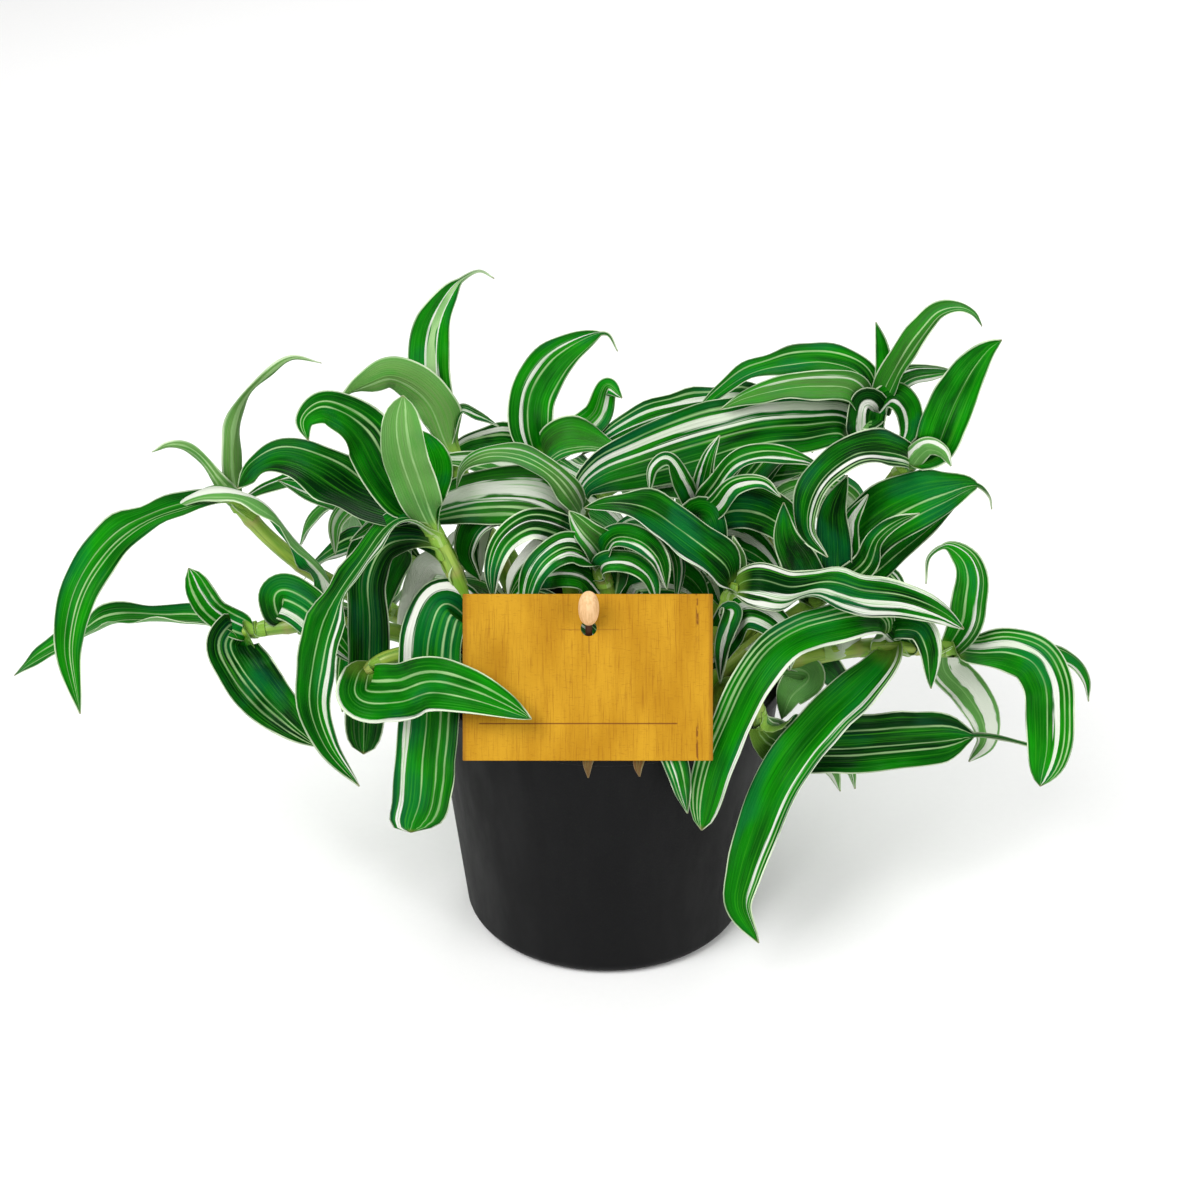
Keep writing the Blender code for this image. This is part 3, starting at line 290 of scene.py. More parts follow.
def finished(mesh, material, sharp=None):
    # the mesh with one material, and smooth but for its sharp edges, in degrees
    mesh.materials.clear()
    mesh.materials.append(material)
    if sharp is not None:
        mesh.shade_smooth()
        mesh.set_sharp_from_angle(angle=math.radians(sharp))
    return mesh


pot = {"rimRadius": 60.0, "footRadius": 47.5, "height": 95.0, "lipHeight": 4.0, "lipWidth": 1.2,
       "wall": 1.4, "floor": 2.0, "footFillet": 4.5, "recess": 0.6, "recessRadius": 39.0,
       "underRound": 0.6, "topRound": 0.9, "innerRound": 0.5, "floorRound": 2.8, "floorRise": 3.0,
       "sides": 144, "drainHoles": 8, "drainRadius": 4.0, "drainCircle": 30.0, "drainSides": 32, "sharp": 40,
       "black": (0.0015, 0.0016, 0.0020), "dusty": (0.008, 0.0076, 0.0076)}


def outerRadius(z):
    return pot["footRadius"] + (pot["rimRadius"] - pot["lipWidth"] - pot["footRadius"]) * z / pot["height"]


def arc(x, z, radius, start, end, steps):
    # points of (radius, z) round a part of a circle; start and end are in degrees
    turns = [math.radians(start + (end - start) * k / steps) for k in range(steps + 1)]
    return [(x + radius * math.cos(t), z + radius * math.sin(t)) for t in turns]


def makePotMaterial():
    material, tree = newMaterial("pot_black_plastic", {"Specular IOR Level": 0.13})
    place = objectPlace(tree)
    fine = noiseOf(place, 2600.0)
    scuffs = noiseOf(scaled(place, 1.0, 1.0, 0.25), 90.0, 5.0, 0.65)
    dust = times(fade(scuffs, 0.5, 0.8), fade(partsOf(place)[2], 0.0, 0.05, 0.5, 0.15))
    return dressed(material, mixed(dust, pot["black"], pot["dusty"]), fine, 0.25, 0.0002,
                   fade(scuffs, 0.25, 0.8, 0.46, 0.66))


def makePot():
    size = pot
    rim, fillet, top, wall = size["rimRadius"], size["footFillet"], size["height"], size["wall"]
    lipLow = top - size["lipHeight"]
    below = lipLow - size["lipWidth"]
    inner = outerRadius(top) - wall
    floorZ, rise = size["floor"], size["floor"] + size["floorRise"]
    under, over, inside, hollow = size["underRound"], size["topRound"], size["innerRound"], size["floorRound"]
    # from the middle of the base, up the outside, over the lip and down the inside
    profile = [(0.0, size["recess"]), (size["recessRadius"], size["recess"]),
               (size["recessRadius"] + size["recess"], 0.0)]
    profile += arc(outerRadius(fillet) - fillet, fillet, fillet, -90, 0, 8) + [(outerRadius(below), below)]
    profile += arc(rim - under, lipLow + under / 2, under, -80, 0, 4)
    profile += arc(rim - over, top - over, over, 0, 90, 6)
    profile += arc(inner + inside, top - inside, inside, 90, 180, 4) + [(outerRadius(rise) - wall, rise)]
    profile += arc(outerRadius(floorZ) - wall - hollow, floorZ + hollow, hollow, 0, -90, 5) + [(0.0, floorZ)]
    holes = []
    for k in range(size["drainHoles"]):
        angle = 2 * math.pi * (k + 0.5) / size["drainHoles"]
        x, y = size["drainCircle"] * math.cos(angle), size["drainCircle"] * math.sin(angle)
        holes.append(rodMesh("drain", size["drainRadius"], -1.0, 3.0, size["drainSides"],
                             Matrix.Translation((x, y, 0.0))))
    mesh = drilled("pot_body", turnedMesh("pot_body", profile, size["sides"]), holes)
    return addPiece("pot_body", finished(mesh, makePotMaterial(), size["sharp"]), "pot")


makePot()
print("pot made")

soil = {"top": 85.0, "bump": 1.2, "gap": 0.3, "sides": 96, "rings": 26, "holeDepth": 12.0,
        "footHeight": 5.2, "footInset": 3.2, "edgeInset": 0.6, "shoulder": 0.5, "shoulderDrop": 2.0,
        "grainDensity": 240000.0, "grainSize": 0.0011, "grainLeast": (0.4, 0.4, 0.3),
        "grainMost": (1.5, 1.1, 0.9), "grainsFacing": 0.6, "grainsAbove": 0.08, "seed": 4,
        "dark": (0.012, 0.007, 0.004), "brown": (0.075, 0.042, 0.022), "crumb": (0.13, 0.085, 0.05)}


def soilHeight(x, y):
    # low waves with small lumps on them, in mm
    wave = math.sin(0.31 * x + 1.1) * math.cos(0.27 * y + 0.4) + 0.6 * math.sin(0.13 * x - 0.19 * y)
    small = 0.35 * math.sin(1.1 * x + 0.7 * y) * math.cos(0.9 * y - 0.5 * x)
    return soil["top"] + soil["bump"] * wave + (small + 0.2 * math.sin(2.3 * x) * math.sin(2.1 * y))


def makeGrainTree():
    tree, surface, density, size, seed, finish = newTree("soil_grains", {
        "Grains a square metre": "Float", "Grain size": "Float", "Seed": "Int", "Soil": "Material"})
    # grains lie only on the top, which faces up
    facing = partsOf(geoNode(tree, "InputNormal"))[2]
    height = partsOf(geoNode(tree, "InputPosition"))[2]
    tests = [addNode(tree, "FunctionNodeCompare", {0: value, 1: least}, operation="GREATER_THAN").outputs[0]
             for value, least in ((facing, soil["grainsFacing"]), (height, soil["grainsAbove"]))]
    chosen = addNode(tree, "FunctionNodeBooleanMath", dict(enumerate(tests)), operation="AND").outputs[0]
    spread = geoNode(tree, "DistributePointsOnFaces", {
        "Mesh": surface, "Selection": chosen, "Density": density, "Seed": seed})
    turned, sized = [addNode(tree, "FunctionNodeRandomValue", {"Min": least, "Max": greatest, "Seed": seed},
                             data_type="FLOAT_VECTOR").outputs[0]
                     for least, greatest in (((0.0, 0.0, 0.0), (6.28, 6.28, 6.28)),
                                             (soil["grainLeast"], soil["grainMost"]))]
    grains = geoNode(tree, "InstanceOnPoints", {
        "Points": spread, "Instance": geoNode(tree, "MeshIcoSphere", {"Radius": size, "Subdivisions": 1}),
        "Rotation": turned, "Scale": sized})
    both = tree.nodes.new("GeometryNodeJoinGeometry")
    for geometry in (grains, surface):
        tree.links.new(geometry, both.inputs[0])
    return endTree(both.outputs[0], finish)


def makeSoilMaterial():
    material, tree = newMaterial("soil_dark", {"Roughness": 0.93, "Specular IOR Level": 0.2})
    place = objectPlace(tree)
    grains = noiseOf(place, 700.0, 5.0, 0.7)
    colour = mixed(fade(grains, 0.35, 0.7), soil["dark"], soil["brown"])
    colour = mixed(fade(noiseOf(place, 90.0, 3.0), 0.6, 0.75, 0.0, 0.5), colour, soil["crumb"])
    return dressed(material, colour, grains, 0.8, 0.0008)


def makeSoil():
    size = soil
    top, rings, floorZ = size["top"], size["rings"], pot["floor"] + size["gap"]

    def reach(z):
        return outerRadius(z) - pot["wall"] - size["gap"]

    edge = reach(top) - size["edgeInset"]
    profile = [(0.0, floorZ), (reach(pot["floor"]) - size["footInset"], floorZ),
               (reach(size["footHeight"]), size["footHeight"]),
               (edge + size["shoulder"], top - size["shoulderDrop"])]
    profile += [(edge * (rings - k) / rings, top) for k in range(rings)] + [(0.0, top)]
    mesh = turnedMesh("soil_surface", profile, size["sides"])
    for v in mesh.vertices:
        if abs(v.co.z - top * mm) < 1e-6:
            v.co.z = soilHeight(v.co.x / mm, v.co.y / mm) * mm
    mesh = nodesToMesh("soil_surface", mesh, makeGrainTree(), {
        "Grains a square metre": size["grainDensity"], "Grain size": size["grainSize"], "Seed": size["seed"],
        "Soil": makeSoilMaterial()})
    return addPiece("soil_surface", mesh, "soil")


makeSoil()
print("soil made")

# each scored line is (level or upright, where, from, to, strength), in mm on the board
tag = {"width": 78.0, "height": 52.0, "thick": 1.3, "lean": 29.5, "x": -5.8, "lowY": -63.0, "lowZ": 95.1,
       "holeRadius": 2.5, "holeX": 0.3, "holeY": 41.3, "holeSides": 56, "edge": 0.3,
       "lines": [("level", 11.6, -34.0, 28.0, 0.85), ("level", 40.9, -8.2, 9.8, 0.3),
                 ("upright", 0.3, 33.3, 46.3, 0.3)],
       "scorchX": 38.4, "streakX": 32.9, "middleY": 25.0,
       "wood": (0.37, 0.175, 0.005), "light": (0.475, 0.25, 0.012), "dark": (0.22, 0.075, 0.003),
       "burnt": (0.13, 0.035, 0.006)}


def tagAxes():
    # local x across the board, y up it and z out of its front, from the middle of its lower edge
    lean = math.radians(tag["lean"])
    up = Vector((0.0, math.sin(lean), math.cos(lean)))
    across = Vector((1.0, 0.0, 0.0))
    axes = Matrix((across, up, across.cross(up))).transposed().to_4x4()
    axes.translation = Vector((tag["x"], tag["lowY"], tag["lowZ"]))
    return axes


def makeTagMaterial():
    look = tag
    material, tree = newMaterial("tag_golden_wood", {"Roughness": 0.55, "Specular IOR Level": 0.1})
    board = readAttribute(tree, "boardPlace", "Vector")   # mm from the middle of the lower edge
    x, y, z = partsOf(board)
    fibre = noiseOf(scaled(board, 2.6, 0.09, 0.6), 1.0, 4.0, 0.65)
    flecks = noiseOf(scaled(board, 0.5, 3.2, 1.0), 1.0, 3.0, 0.6)
    clouds = noiseOf(scaled(board, 0.09, 0.035, 0.3), 1.0, 3.0)
    patch = noiseOf(scaled(board, 0.9, 0.4, 1.0), 1.0, 3.0)
    # scorched streaks where the blade cut the edges
    scorch = times(fade(minus(look["scorchX"], absolute(x)), 0.0, 1.1, 1.0, 0.0), 0.4)
    streak = absolute(minus(x, timesPlus(clouds, 2.5, look["streakX"])))
    knots = times(fade(streak, 0.1, 0.55, 1.0, 0.0), fade(patch, 0.42, 0.58))
    knots = times(knots, fade(absolute(minus(y, look["middleY"])), 11.0, 15.0))
    lines = []
    for way, where, low, high, strength in look["lines"]:
        across, along = (y, x) if way == "level" else (x, y)
        off = absolute(minus(across, where))
        reach = minus((high - low) / 2, absolute(minus(along, (high + low) / 2)))
        lines.append(times(times(fade(off, 0.1, 0.3, 1.0, 0.0), fade(reach, -0.2, 0.4)), strength))
    scored = times(most(*lines), fade(z, 0.3, 0.5))       # on the front only
    colour = layered(mixed(fade(clouds, 0.3, 0.7), look["wood"], look["light"]),
                     (fade(fibre, 0.48, 0.75, 0.0, 0.6), look["dark"]),
                     (fade(flecks, 0.56, 0.72, 0.0, 0.4), look["dark"]),
                     (most(scorch, times(knots, 0.85)), look["burnt"]),
                     (scored, look["burnt"]),
                     # painted shade: the board's narrow sides are darkened
                     (fade(absolute(z), 0.62, 0.5, 0.0, 0.3), look["dark"]))
    return dressed(material, colour, minus(times(fibre, 0.6), scored), 0.35, 0.0003)


def makeTag():
    size = tag
    axes = tagAxes()
    work = bmesh.new()
    bmesh.ops.create_cube(work, size=1.0)
    board = Matrix.Translation((0.0, size["height"] / 2, 0.0)) @ Matrix.Diagonal(
        (size["width"], size["height"], size["thick"], 1.0))
    bmesh.ops.transform(work, verts=work.verts, matrix=Matrix.Scale(mm, 4) @ axes @ board)
    mesh = bpy.data.meshes.new("tag_board")
    work.to_mesh(mesh)
    work.free()
    spot = axes @ Matrix.Translation((size["holeX"], size["holeY"], 0.0))
    hole = rodMesh("tag_hole", size["holeRadius"], -3.0, 3.0, size["holeSides"], spot)
    mesh = drilled("tag_board", mesh, [hole], size["edge"] * mm)
    setPlaces(mesh, "boardPlace", axes)
    return addPiece("tag_board", finished(mesh, makeTagMaterial()), "tag")


makeTag()
print("tag made")

peg = {"lean": 18.0, "radius": 1.1, "headRadius": 3.25, "headHalf": 6.6, "headOut": 9.2, "fullness": 0.7,
       "footZ": 74.0, "sides": 48, "headSteps": 32, "sharp": 50,
       "pale": (0.76, 0.50, 0.27), "grain": (0.62, 0.37, 0.17), "speck": (0.45, 0.24, 0.11),
       "paintedNeckShade": (0.05, 0.018, 0.01)}


def makePegMaterial():
    material, tree = newMaterial("peg_pale_wood", {"Roughness": 0.55, "Specular IOR Level": 0.2})
    spot = readAttribute(tree, "pegPlace", "Vector")      # mm, z up the peg
    fibre = noiseOf(scaled(spot, 1.5, 1.5, 0.22), 1.0, 4.0, 0.6)
    colour = layered(mixed(fade(fibre, 0.35, 0.7), peg["pale"], peg["grain"]),
                     (fade(noiseOf(spot, 1.6, 3.0), 0.6, 0.75, 0.0, 0.4), peg["speck"]),
                     # painted shade: the neck and shank below the head are darkened as if in shadow in the
                     # tag's hole
                     (fade(partsOf(spot)[2], 2.0, 3.6, 1.0, 0.0), peg["paintedNeckShade"]))    # dark below the head
    return dressed(material, colour, fibre, 0.4, 0.0003)


def makePeg():
    size = peg
    radius, head, out, full = size["radius"], size["headRadius"], size["headOut"], size["fullness"]
    lean = math.radians(size["lean"])
    hole = tagAxes() @ Vector((tag["holeX"], tag["holeY"], 0.0))
    axis = Matrix.Translation(hole) @ Matrix.Rotation(lean, 4, "X")
    foot = (size["footZ"] - axis.translation.z) / math.cos(lean)
    # the shank ends in a blunt point in the soil
    profile = [(0.0, foot - 1.5), (0.4, foot - 1.3), (0.7, foot - 0.7), (radius, foot + 2.0)]
    # the head is a barrel, fuller towards its ends than an ellipse
    start = math.asin((radius / head) ** (1 / full))
    for k in range(size["headSteps"]):
        angle = start + (math.pi - start) * k / size["headSteps"]
        profile.append((head * math.sin(angle) ** full, out - size["headHalf"] * math.cos(angle)))
    profile.append((0.0, out + size["headHalf"]))
    mesh = turnedMesh("peg_turned", profile, size["sides"], axis)
    setPlaces(mesh, "pegPlace", axis)
    return addPiece("peg_turned", finished(mesh, makePegMaterial(), size["sharp"]), "peg")


makePeg()
print("peg made")

viewpoint = np.array([-2.0, -783.3, 560.2])   # mm, where the plant was laid out from


def unit(v):
    return v / np.linalg.norm(v)


def placed(point):
    # (x, z, near): a point of the upright plane through the pot's axis, pulled towards the viewpoint
    x, z, near = point
    onPlane = np.array([x, 0.0, z])
    return onPlane + near * unit(viewpoint - onPlane)


def leaf(at, width, points, rolls=(20, 10), fold=16, peak=0.3, blunt=2.0, tail=0.0, wave=0.0, slant=0.0,
         side=1):
    # at is a share of the stem's length, and points are as in placed; rolls turn the blade about its rib,
    # from base to tip, and fold is its trough, in degrees; peak, blunt and tail shape the outline, and side
    # is the way in which the first shift goes
    return dict(at=at, width=width, points=points, rolls=rolls, fold=fold, peak=peak, blunt=blunt,
                tail=tail, wave=wave, slant=slant, side=side)


# name, foot (x, y) in the soil, stem points, leaves
shoots = [
    ("shoot_left_upper", (-34, 10), [(-66, 110, -8), (-95, 127, -4), (-109, 140, -2), (-121, 156, 0)], [
        leaf(1.0, 14, [(-131, 153, 4), (-146, 147, 10), (-161, 137, 16), (-172, 121, 22), (-178, 100, 32),
             (-176.5, 73, 40)], (60, 50, 15, 0, 0)),
        leaf(0.96, 8, [(-119, 172, -6), (-114, 188, -12), (-106, 198, -16), (-98, 204, -16), (-89, 202, -14)],
             (160, 130, 120), peak=0.1, blunt=1.0),
        leaf(0.98, 6, [(-128, 167, 2), (-134, 172, 4), (-139, 173, 4), (-144.5, 171, 2)], (140, 120)),
        leaf(0.5, 13, [(-89, 117, 8), (-93, 130, 9), (-103, 143, 9), (-113, 154, 8), (-125, 158, 6),
             (-134, 155, 4), (-141, 149, 4)], (-60, -70, -80, -110, -130), fold=25)]),
    ("shoot_left_lower", (-42, -6), [(-62, 102, 8), (-92, 108, 8), (-121, 105, 8)], [
        leaf(1.0, 13, [(-135, 109, 6), (-150, 110, 4), (-165, 107, -2), (-178, 101, -8), (-190, 93, -14),
             (-197, 88, -18)], (60, 60, 50), fold=28),
        leaf(0.97, 10, [(-128, 112, 10), (-133, 120, 12), (-136, 129, 12)], (0, 0), fold=24, blunt=6),
        leaf(1.0, 19, [(-124, 100, 14), (-121, 91, 20), (-114, 80, 26), (-105, 69, 34), (-97, 60, 38)],
             (20, 5, 0), peak=0.16),
        leaf(0.82, 16, [(-106, 112, 12), (-106, 118, 16), (-100, 115, 20), (-91, 105, 22), (-82, 92, 23)],
             (60, 20, 0, 0), peak=0.45)]),
    ("shoot_left_tall", (-36, -22), [(-42, 103, 28), (-49, 126, 28), (-58, 148, 26)], [
        leaf(1.0, 19, [(-68, 150, 24), (-79, 155, 20), (-92, 164, 16), (-104, 168, 12), (-112, 165, 10),
             (-118, 158, 8)], (40, 30, 30)),
        leaf(1.0, 18, [(-64, 155, 24), (-71, 166, 22), (-76, 177, 20), (-83, 184, 20), (-90, 186, 22),
             (-95, 182, 24), (-94.5, 175, 26)], (0, 5, 40)),
        leaf(1.0, 15, [(-61, 159, 32), (-64, 171, 35), (-65, 182, 35), (-64, 191, 32)], (180, 180, 180),
             fold=-25, peak=0.45, blunt=6),
        leaf(0.98, 15, [(-58, 157, 22), (-56, 166, 22), (-59, 179, 20)], (0, 0), peak=0.5, blunt=3),
        leaf(0.95, 15, [(-66, 146, 33), (-77, 134, 37), (-86, 121, 40), (-91, 108, 42), (-96, 92, 44),
             (-98, 76, 46), (-94, 60, 48), (-84, 44, 50)], (60, 65, 55, 15, 0, 0)),
        leaf(0.5, 21, [(-53, 114, 36), (-57, 104, 41), (-58.5, 88, 45), (-59, 70, 49), (-61, 52, 52),
             (-63, 36, 53), (-67, 25, 53)], (30, 10, 5, 5), blunt=14, slant=0.7),
        leaf(0.9, 14, [(-70, 138, 20), (-77, 126, 24), (-78, 108, 30), (-79, 90, 34), (-81, 72, 36),
             (-82, 57, 36)], (40, 10, 0), blunt=12, side=-1),
        leaf(0.8, 9, [(-58, 130, 14), (-64, 117, 10), (-69, 102, 8)], (170, 180), side=-1),
        leaf(0.85, 12, [(-62, 142, 12), (-69, 132, 6), (-74, 118, 2), (-76, 103, 0)], (20, 0), side=-1)]),
    ("shoot_left_front", (-43, -27), [(-60, 96, 34), (-72, 95, 38), (-80, 90, 40)], [
        leaf(1.0, 20, [(-81, 82, 46), (-70, 81, 54), (-58, 84.5, 62), (-46, 82, 69), (-35, 77, 73),
             (-25, 71, 75)], (10, 10, 5), peak=0.2)]),
    ("shoot_back_left", (-24, 22), [(-38, 140, -30), (-51, 177, -36)], [
        leaf(1.0, 13.5, [(-54, 188, -40), (-55.5, 200, -44), (-54.5, 212, -50), (-50, 223, -56),
             (-45, 230, -60), (-39, 233, -62), (-34.5, 230.5, -62)], (0, 0, 20), peak=0.36, tail=0.16),
        leaf(0.98, 14, [(-54, 187, -34), (-61, 195, -33), (-68, 198, -32), (-76, 195, -31), (-84, 190, -31)],
             (170, 160, 120)),
        leaf(0.97, 5, [(-46, 186, -38), (-41, 184, -40), (-34, 180, -42)], (50, 50)),
        leaf(0.95, 7, [(-60, 173, -34), (-72, 170.5, -34), (-84, 168, -34), (-94, 165, -34)], (60, 60)),
        leaf(0.9, 13, [(-62, 166, -28), (-80, 164, -26), (-95, 161, -22), (-108, 158, -18), (-118, 153, -14)],
             (60, 60, 50)),
        leaf(0.8, 16, [(-64, 154, -24), (-78, 154, -22), (-92, 156, -20), (-105, 161, -18)], (40, 30),
             side=-1),
        leaf(0.7, 10, [(-60, 150, -16), (-71, 147, -14), (-83, 139, -12)], (40, 20), side=-1),
        leaf(0.85, 9, [(-70, 158, -20), (-81, 153, -16), (-87, 146, -12), (-88, 134, -10)], (50, 10))]),
    ("shoot_back_middle", (-10, 34), [(-14, 135, -38), (-22, 170, -46)], [
        leaf(1.0, 15, [(-24, 180, -50), (-23, 191, -56), (-17, 202, -62), (-8, 209, -66), (0, 212, -66),
             (3.5, 206, -64)], (0, 0, 20), tail=0.12),
        leaf(0.98, 10, [(-12, 176, -52), (-3, 184, -54), (0.5, 194, -54), (5, 190, -50)], (0, 0), blunt=3),
        leaf(0.97, 15, [(-31, 173, -42), (-42, 173, -38), (-52, 167, -36)], (40, 40), side=-1),
        leaf(0.97, 15, [(-14, 174, -40), (-4, 174.5, -38), (6, 170, -36)], (40, 40), side=-1)]),
    ("shoot_centre", (-6, 4), [(-6, 122, -2), (-7, 146, -2)], [
        leaf(1.0, 21, [(-13, 148, 8), (-21, 153, 10), (-32, 155, 11), (-44, 154, 11), (-55, 150, 10),
             (-62, 145, 8)], (25, 15, 15)),
        leaf(1.0, 11, [(-12, 156, 6), (-20, 164, 7), (-29, 169, 7), (-38, 170, 7), (-45, 166, 7),
             (-48, 158, 7)], (50, 45, 45)),
        leaf(0.97, 11, [(-16, 156, -10), (-28, 164, -14), (-42, 168, -16), (-57, 168, -18)], (40, 40),
             side=-1),
        leaf(0.92, 12, [(-16, 141, 8), (-26, 143, 10), (-36, 145, 10)], (60, 50)),
        leaf(0.97, 12, [(-20, 149, 10), (-34, 150, 14), (-43, 144, 17), (-46, 134, 19), (-41, 124, 20)],
             (60, 30, 10, 0)),
        leaf(0.85, 11, [(-15, 143, 14), (-25, 145, 20), (-33, 139, 25), (-37, 129, 27), (-37, 117, 27)],
             (20, 0, 0)),
        leaf(0.75, 13, [(-13, 134, 10), (-21, 133, 15), (-28, 126, 18), (-31, 115, 19)], (30, 10)),
        leaf(0.9, 13, [(-16, 146, 2), (-30, 151, 4), (-39, 148, 6), (-42, 138, 8), (-41, 126, 10)],
             (10, 10))]),
    ("shoot_behind_tag", (10, -20), [(4, 108, 20), (-3, 132, 20)], [
        leaf(1.0, 11, [(-12, 136, 24), (-20, 131, 28), (-25, 121, 30), (-26, 108, 30)], (30, 10)),
        leaf(1.0, 9, [(3, 140, 24), (11, 139, 28), (17, 133, 30), (20, 121, 30)], (30, 10)),
        leaf(0.95, 8, [(1, 131, 29), (8, 131, 32), (14, 126, 33), (17, 115, 33)], (30, 10)),
        leaf(0.97, 7, [(8, 146, 10), (18, 141, 14), (23, 131, 18), (23, 116, 20)], (50, 30)),
        leaf(0.75, 15, [(-5, 126, 8), (-14, 129, 2), (-24, 126, -2), (-32, 117, -4)], (10, 0), side=-1),
        leaf(0.7, 15, [(6, 124, 8), (15, 127, 2), (26, 124, -2), (34, 115, -4)], (10, 0), side=-1),
        leaf(0.8, 13, [(0, 134, 10), (-7, 143, 4), (-12, 150, -2)], (0, 0), side=-1)]),
    ("shoot_front_right", (26, -24), [(35, 100, 27), (42, 123, 24)], [
        leaf(1.0, 17, [(33, 133, 26), (22, 143, 24), (12, 149, 22), (2, 151.5, 20), (-7, 151, 18)],
             (35, 35, 35), fold=25),
        leaf(1.0, 16, [(50, 122, 28), (60, 119.5, 30), (71, 120.5, 32), (84, 118, 32), (98, 116.5, 32),
             (109, 112, 32), (118, 106, 32)], (10, 15, 60, 20, 5, 5), wave=1.5, peak=0.15),
        leaf(0.7, 7, [(41, 112, 30), (38.5, 100, 34), (38, 85, 38)], (20, 0)),
        leaf(0.98, 6, [(43, 131, 19), (41, 141, 17)], (0, 0)),
        leaf(0.5, 13, [(46, 112, 31), (54, 109, 32), (60, 101, 32), (61, 90, 32)], (20, 0), side=-1)]),
    ("shoot_inner_right", (18, 2), [(24, 122, -2), (30, 148, -2)], [
        leaf(1.0, 7, [(24, 160, 4), (19, 168, 6), (15, 165, 8), (14, 156, 10)], (20, 20)),
        leaf(1.0, 7, [(31, 162, 0), (33, 170, 1), (36, 177, 1)], (0, 0)),
        leaf(1.0, 9, [(34, 157, 6), (40, 166, 8), (50, 169.5, 8), (62, 168.5, 6), (70, 165, 4)], (40, 40)),
        leaf(0.97, 8, [(36, 152, 10), (42, 159, 13), (50, 160, 15), (56, 155, 15)], (20, 20)),
        leaf(0.97, 14, [(32, 146, 12), (34, 137, 16), (33, 126, 18)], (0, 0)),
        leaf(0.97, 16, [(40, 151, 2), (51, 150, 4), (60, 143, 6), (68, 131, 8)], (20, 0)),
        leaf(0.8, 14, [(38, 140, -4), (48, 136, -2), (57, 127, 0)], (30, 10), side=-1),
        leaf(0.6, 12, [(30, 129, 4), (35, 124, 6), (38, 114, 8)], (10, 0), side=-1)]),
    ("shoot_right_middle", (36, -6), [(56, 106, 5), (75, 122, 6)], [
        leaf(1.0, 21, [(80, 136, 3), (88, 146, 1), (98, 153, 0), (109, 157, -6), (119, 159, -12),
             (123, 155, -14), (124, 150.5, -14)], (20, 15, 10), tail=0.14),
        leaf(1.0, 12, [(74, 135, 10), (73, 150, 8), (77, 163, 4)], (0, 0)),
        leaf(0.98, 8, [(78, 133, 8), (79, 146, 6), (84, 156, 3)], (0, 0)),
        leaf(0.98, 9, [(84, 130, 12), (88, 140, 12), (95, 146, 11), (101, 149, 10)], (0, 30)),
        leaf(0.95, 10, [(86, 127, 4), (95, 136, -3), (104, 144, -8), (112, 151, -10)], (10, 20), side=-1),
        leaf(0.95, 13, [(67, 131, 14), (60, 138, 16), (54, 146, 16), (50, 152, 16)], (20, 20)),
        leaf(0.9, 13, [(63, 130, -2), (58, 141, -6), (57, 153, -8)], (0, 0), side=-1)]),
    ("shoot_right_top", (28, 20), [(52, 138, -30), (76, 172, -34), (86, 187, -34)], [
        leaf(1.0, 6, [(87, 198, -36), (86, 207, -38), (83.5, 216, -38)], (0, 0)),
        leaf(1.0, 9, [(88, 195, -30), (93, 205, -28), (98, 213, -27), (103, 219.5, -26), (109, 221, -25),
             (113.5, 219, -24), (116.5, 214.5, -23)], (20, 30, 40)),
        leaf(0.98, 11, [(80, 198, -36), (70, 202.5, -38), (58, 203, -40), (46, 199, -42), (36, 192, -42),
             (28, 185, -42)], (35, 35)),
        leaf(0.96, 11, [(77, 193, -28), (66, 193.5, -26), (54, 192.5, -25), (44, 190, -25), (36, 186, -25)],
             (35, 30)),
        leaf(0.9, 23, [(74, 182, -22), (62, 181, -16), (46, 179.5, -12), (30, 175, -10), (12, 168.5, -10),
             (-1, 163.5, -10), (-7, 158, -9), (-7.5, 151, -7)], (25, 12, 10), blunt=3),
        leaf(0.85, 14, [(58, 184, -34), (38, 188, -40), (20, 186, -42), (5, 179, -42), (-8, 170, -42)],
             (45, 40)),
        leaf(0.98, 13, [(82, 186, -24), (82, 178, -20), (84.5, 169, -18)], (10, 0), blunt=3),
        leaf(0.98, 10, [(91, 190, -28), (95, 186, -25), (96, 179, -23), (93, 171, -22)], (20, 10)),
        leaf(0.96, 9, [(94, 196, -46), (102, 198.5, -50), (110, 199, -52)], (40, 40), side=-1),
        leaf(0.45, 13, [(40, 149, -20), (30, 157, -20), (20, 158, -20), (11, 156, -19)], (10, 10), side=-1)]),
    ("shoot_right_upper", (39, 9), [(64, 128, -8), (88, 156, -10), (98, 169, -10)], [
        leaf(1.0, 15, [(104, 173, -8), (106.5, 181, -8), (109.5, 190, -12), (114, 200, -18), (119, 207, -22),
             (123, 210, -24)], (0, 0), peak=0.4),
        leaf(1.0, 12, [(88, 172, -2), (78, 171, 4), (70, 164, 8), (65, 153, 12), (65, 142, 14),
             (72, 133, 16)], (30, 20, 10)),
        leaf(0.98, 7, [(102, 173, -4), (107, 171, -2), (110, 166, 0)], (170, 170)),
        leaf(0.75, 15, [(76, 152, -16), (66, 154, -16), (55, 149, -16), (46, 140, -14)], (40, 20), side=-1)]),
    ("shoot_right_low", (42, -14), [(56, 93, 18), (66, 95, 17), (80, 98, 16), (92, 100, 15), (104, 99, 14),
     (116, 98, 12)], [
        leaf(0.72, 14, [(90, 108, 22), (78, 108, 28), (66, 104.5, 36), (56, 97, 44), (48, 84, 52),
             (42, 68, 57), (37, 52, 60), (34, 38, 60), (33, 26, 60)], (50, 30, 10, 5, 0), blunt=9),
        leaf(0.78, 16, [(93, 94, 24), (84, 82, 34), (74, 71, 44), (65, 58, 54), (57, 42, 62), (52, 25, 66),
             (48, 8, 68), (46.5, -6, 70), (54, -22, 72)], (20, 10, 5, 0), blunt=3),
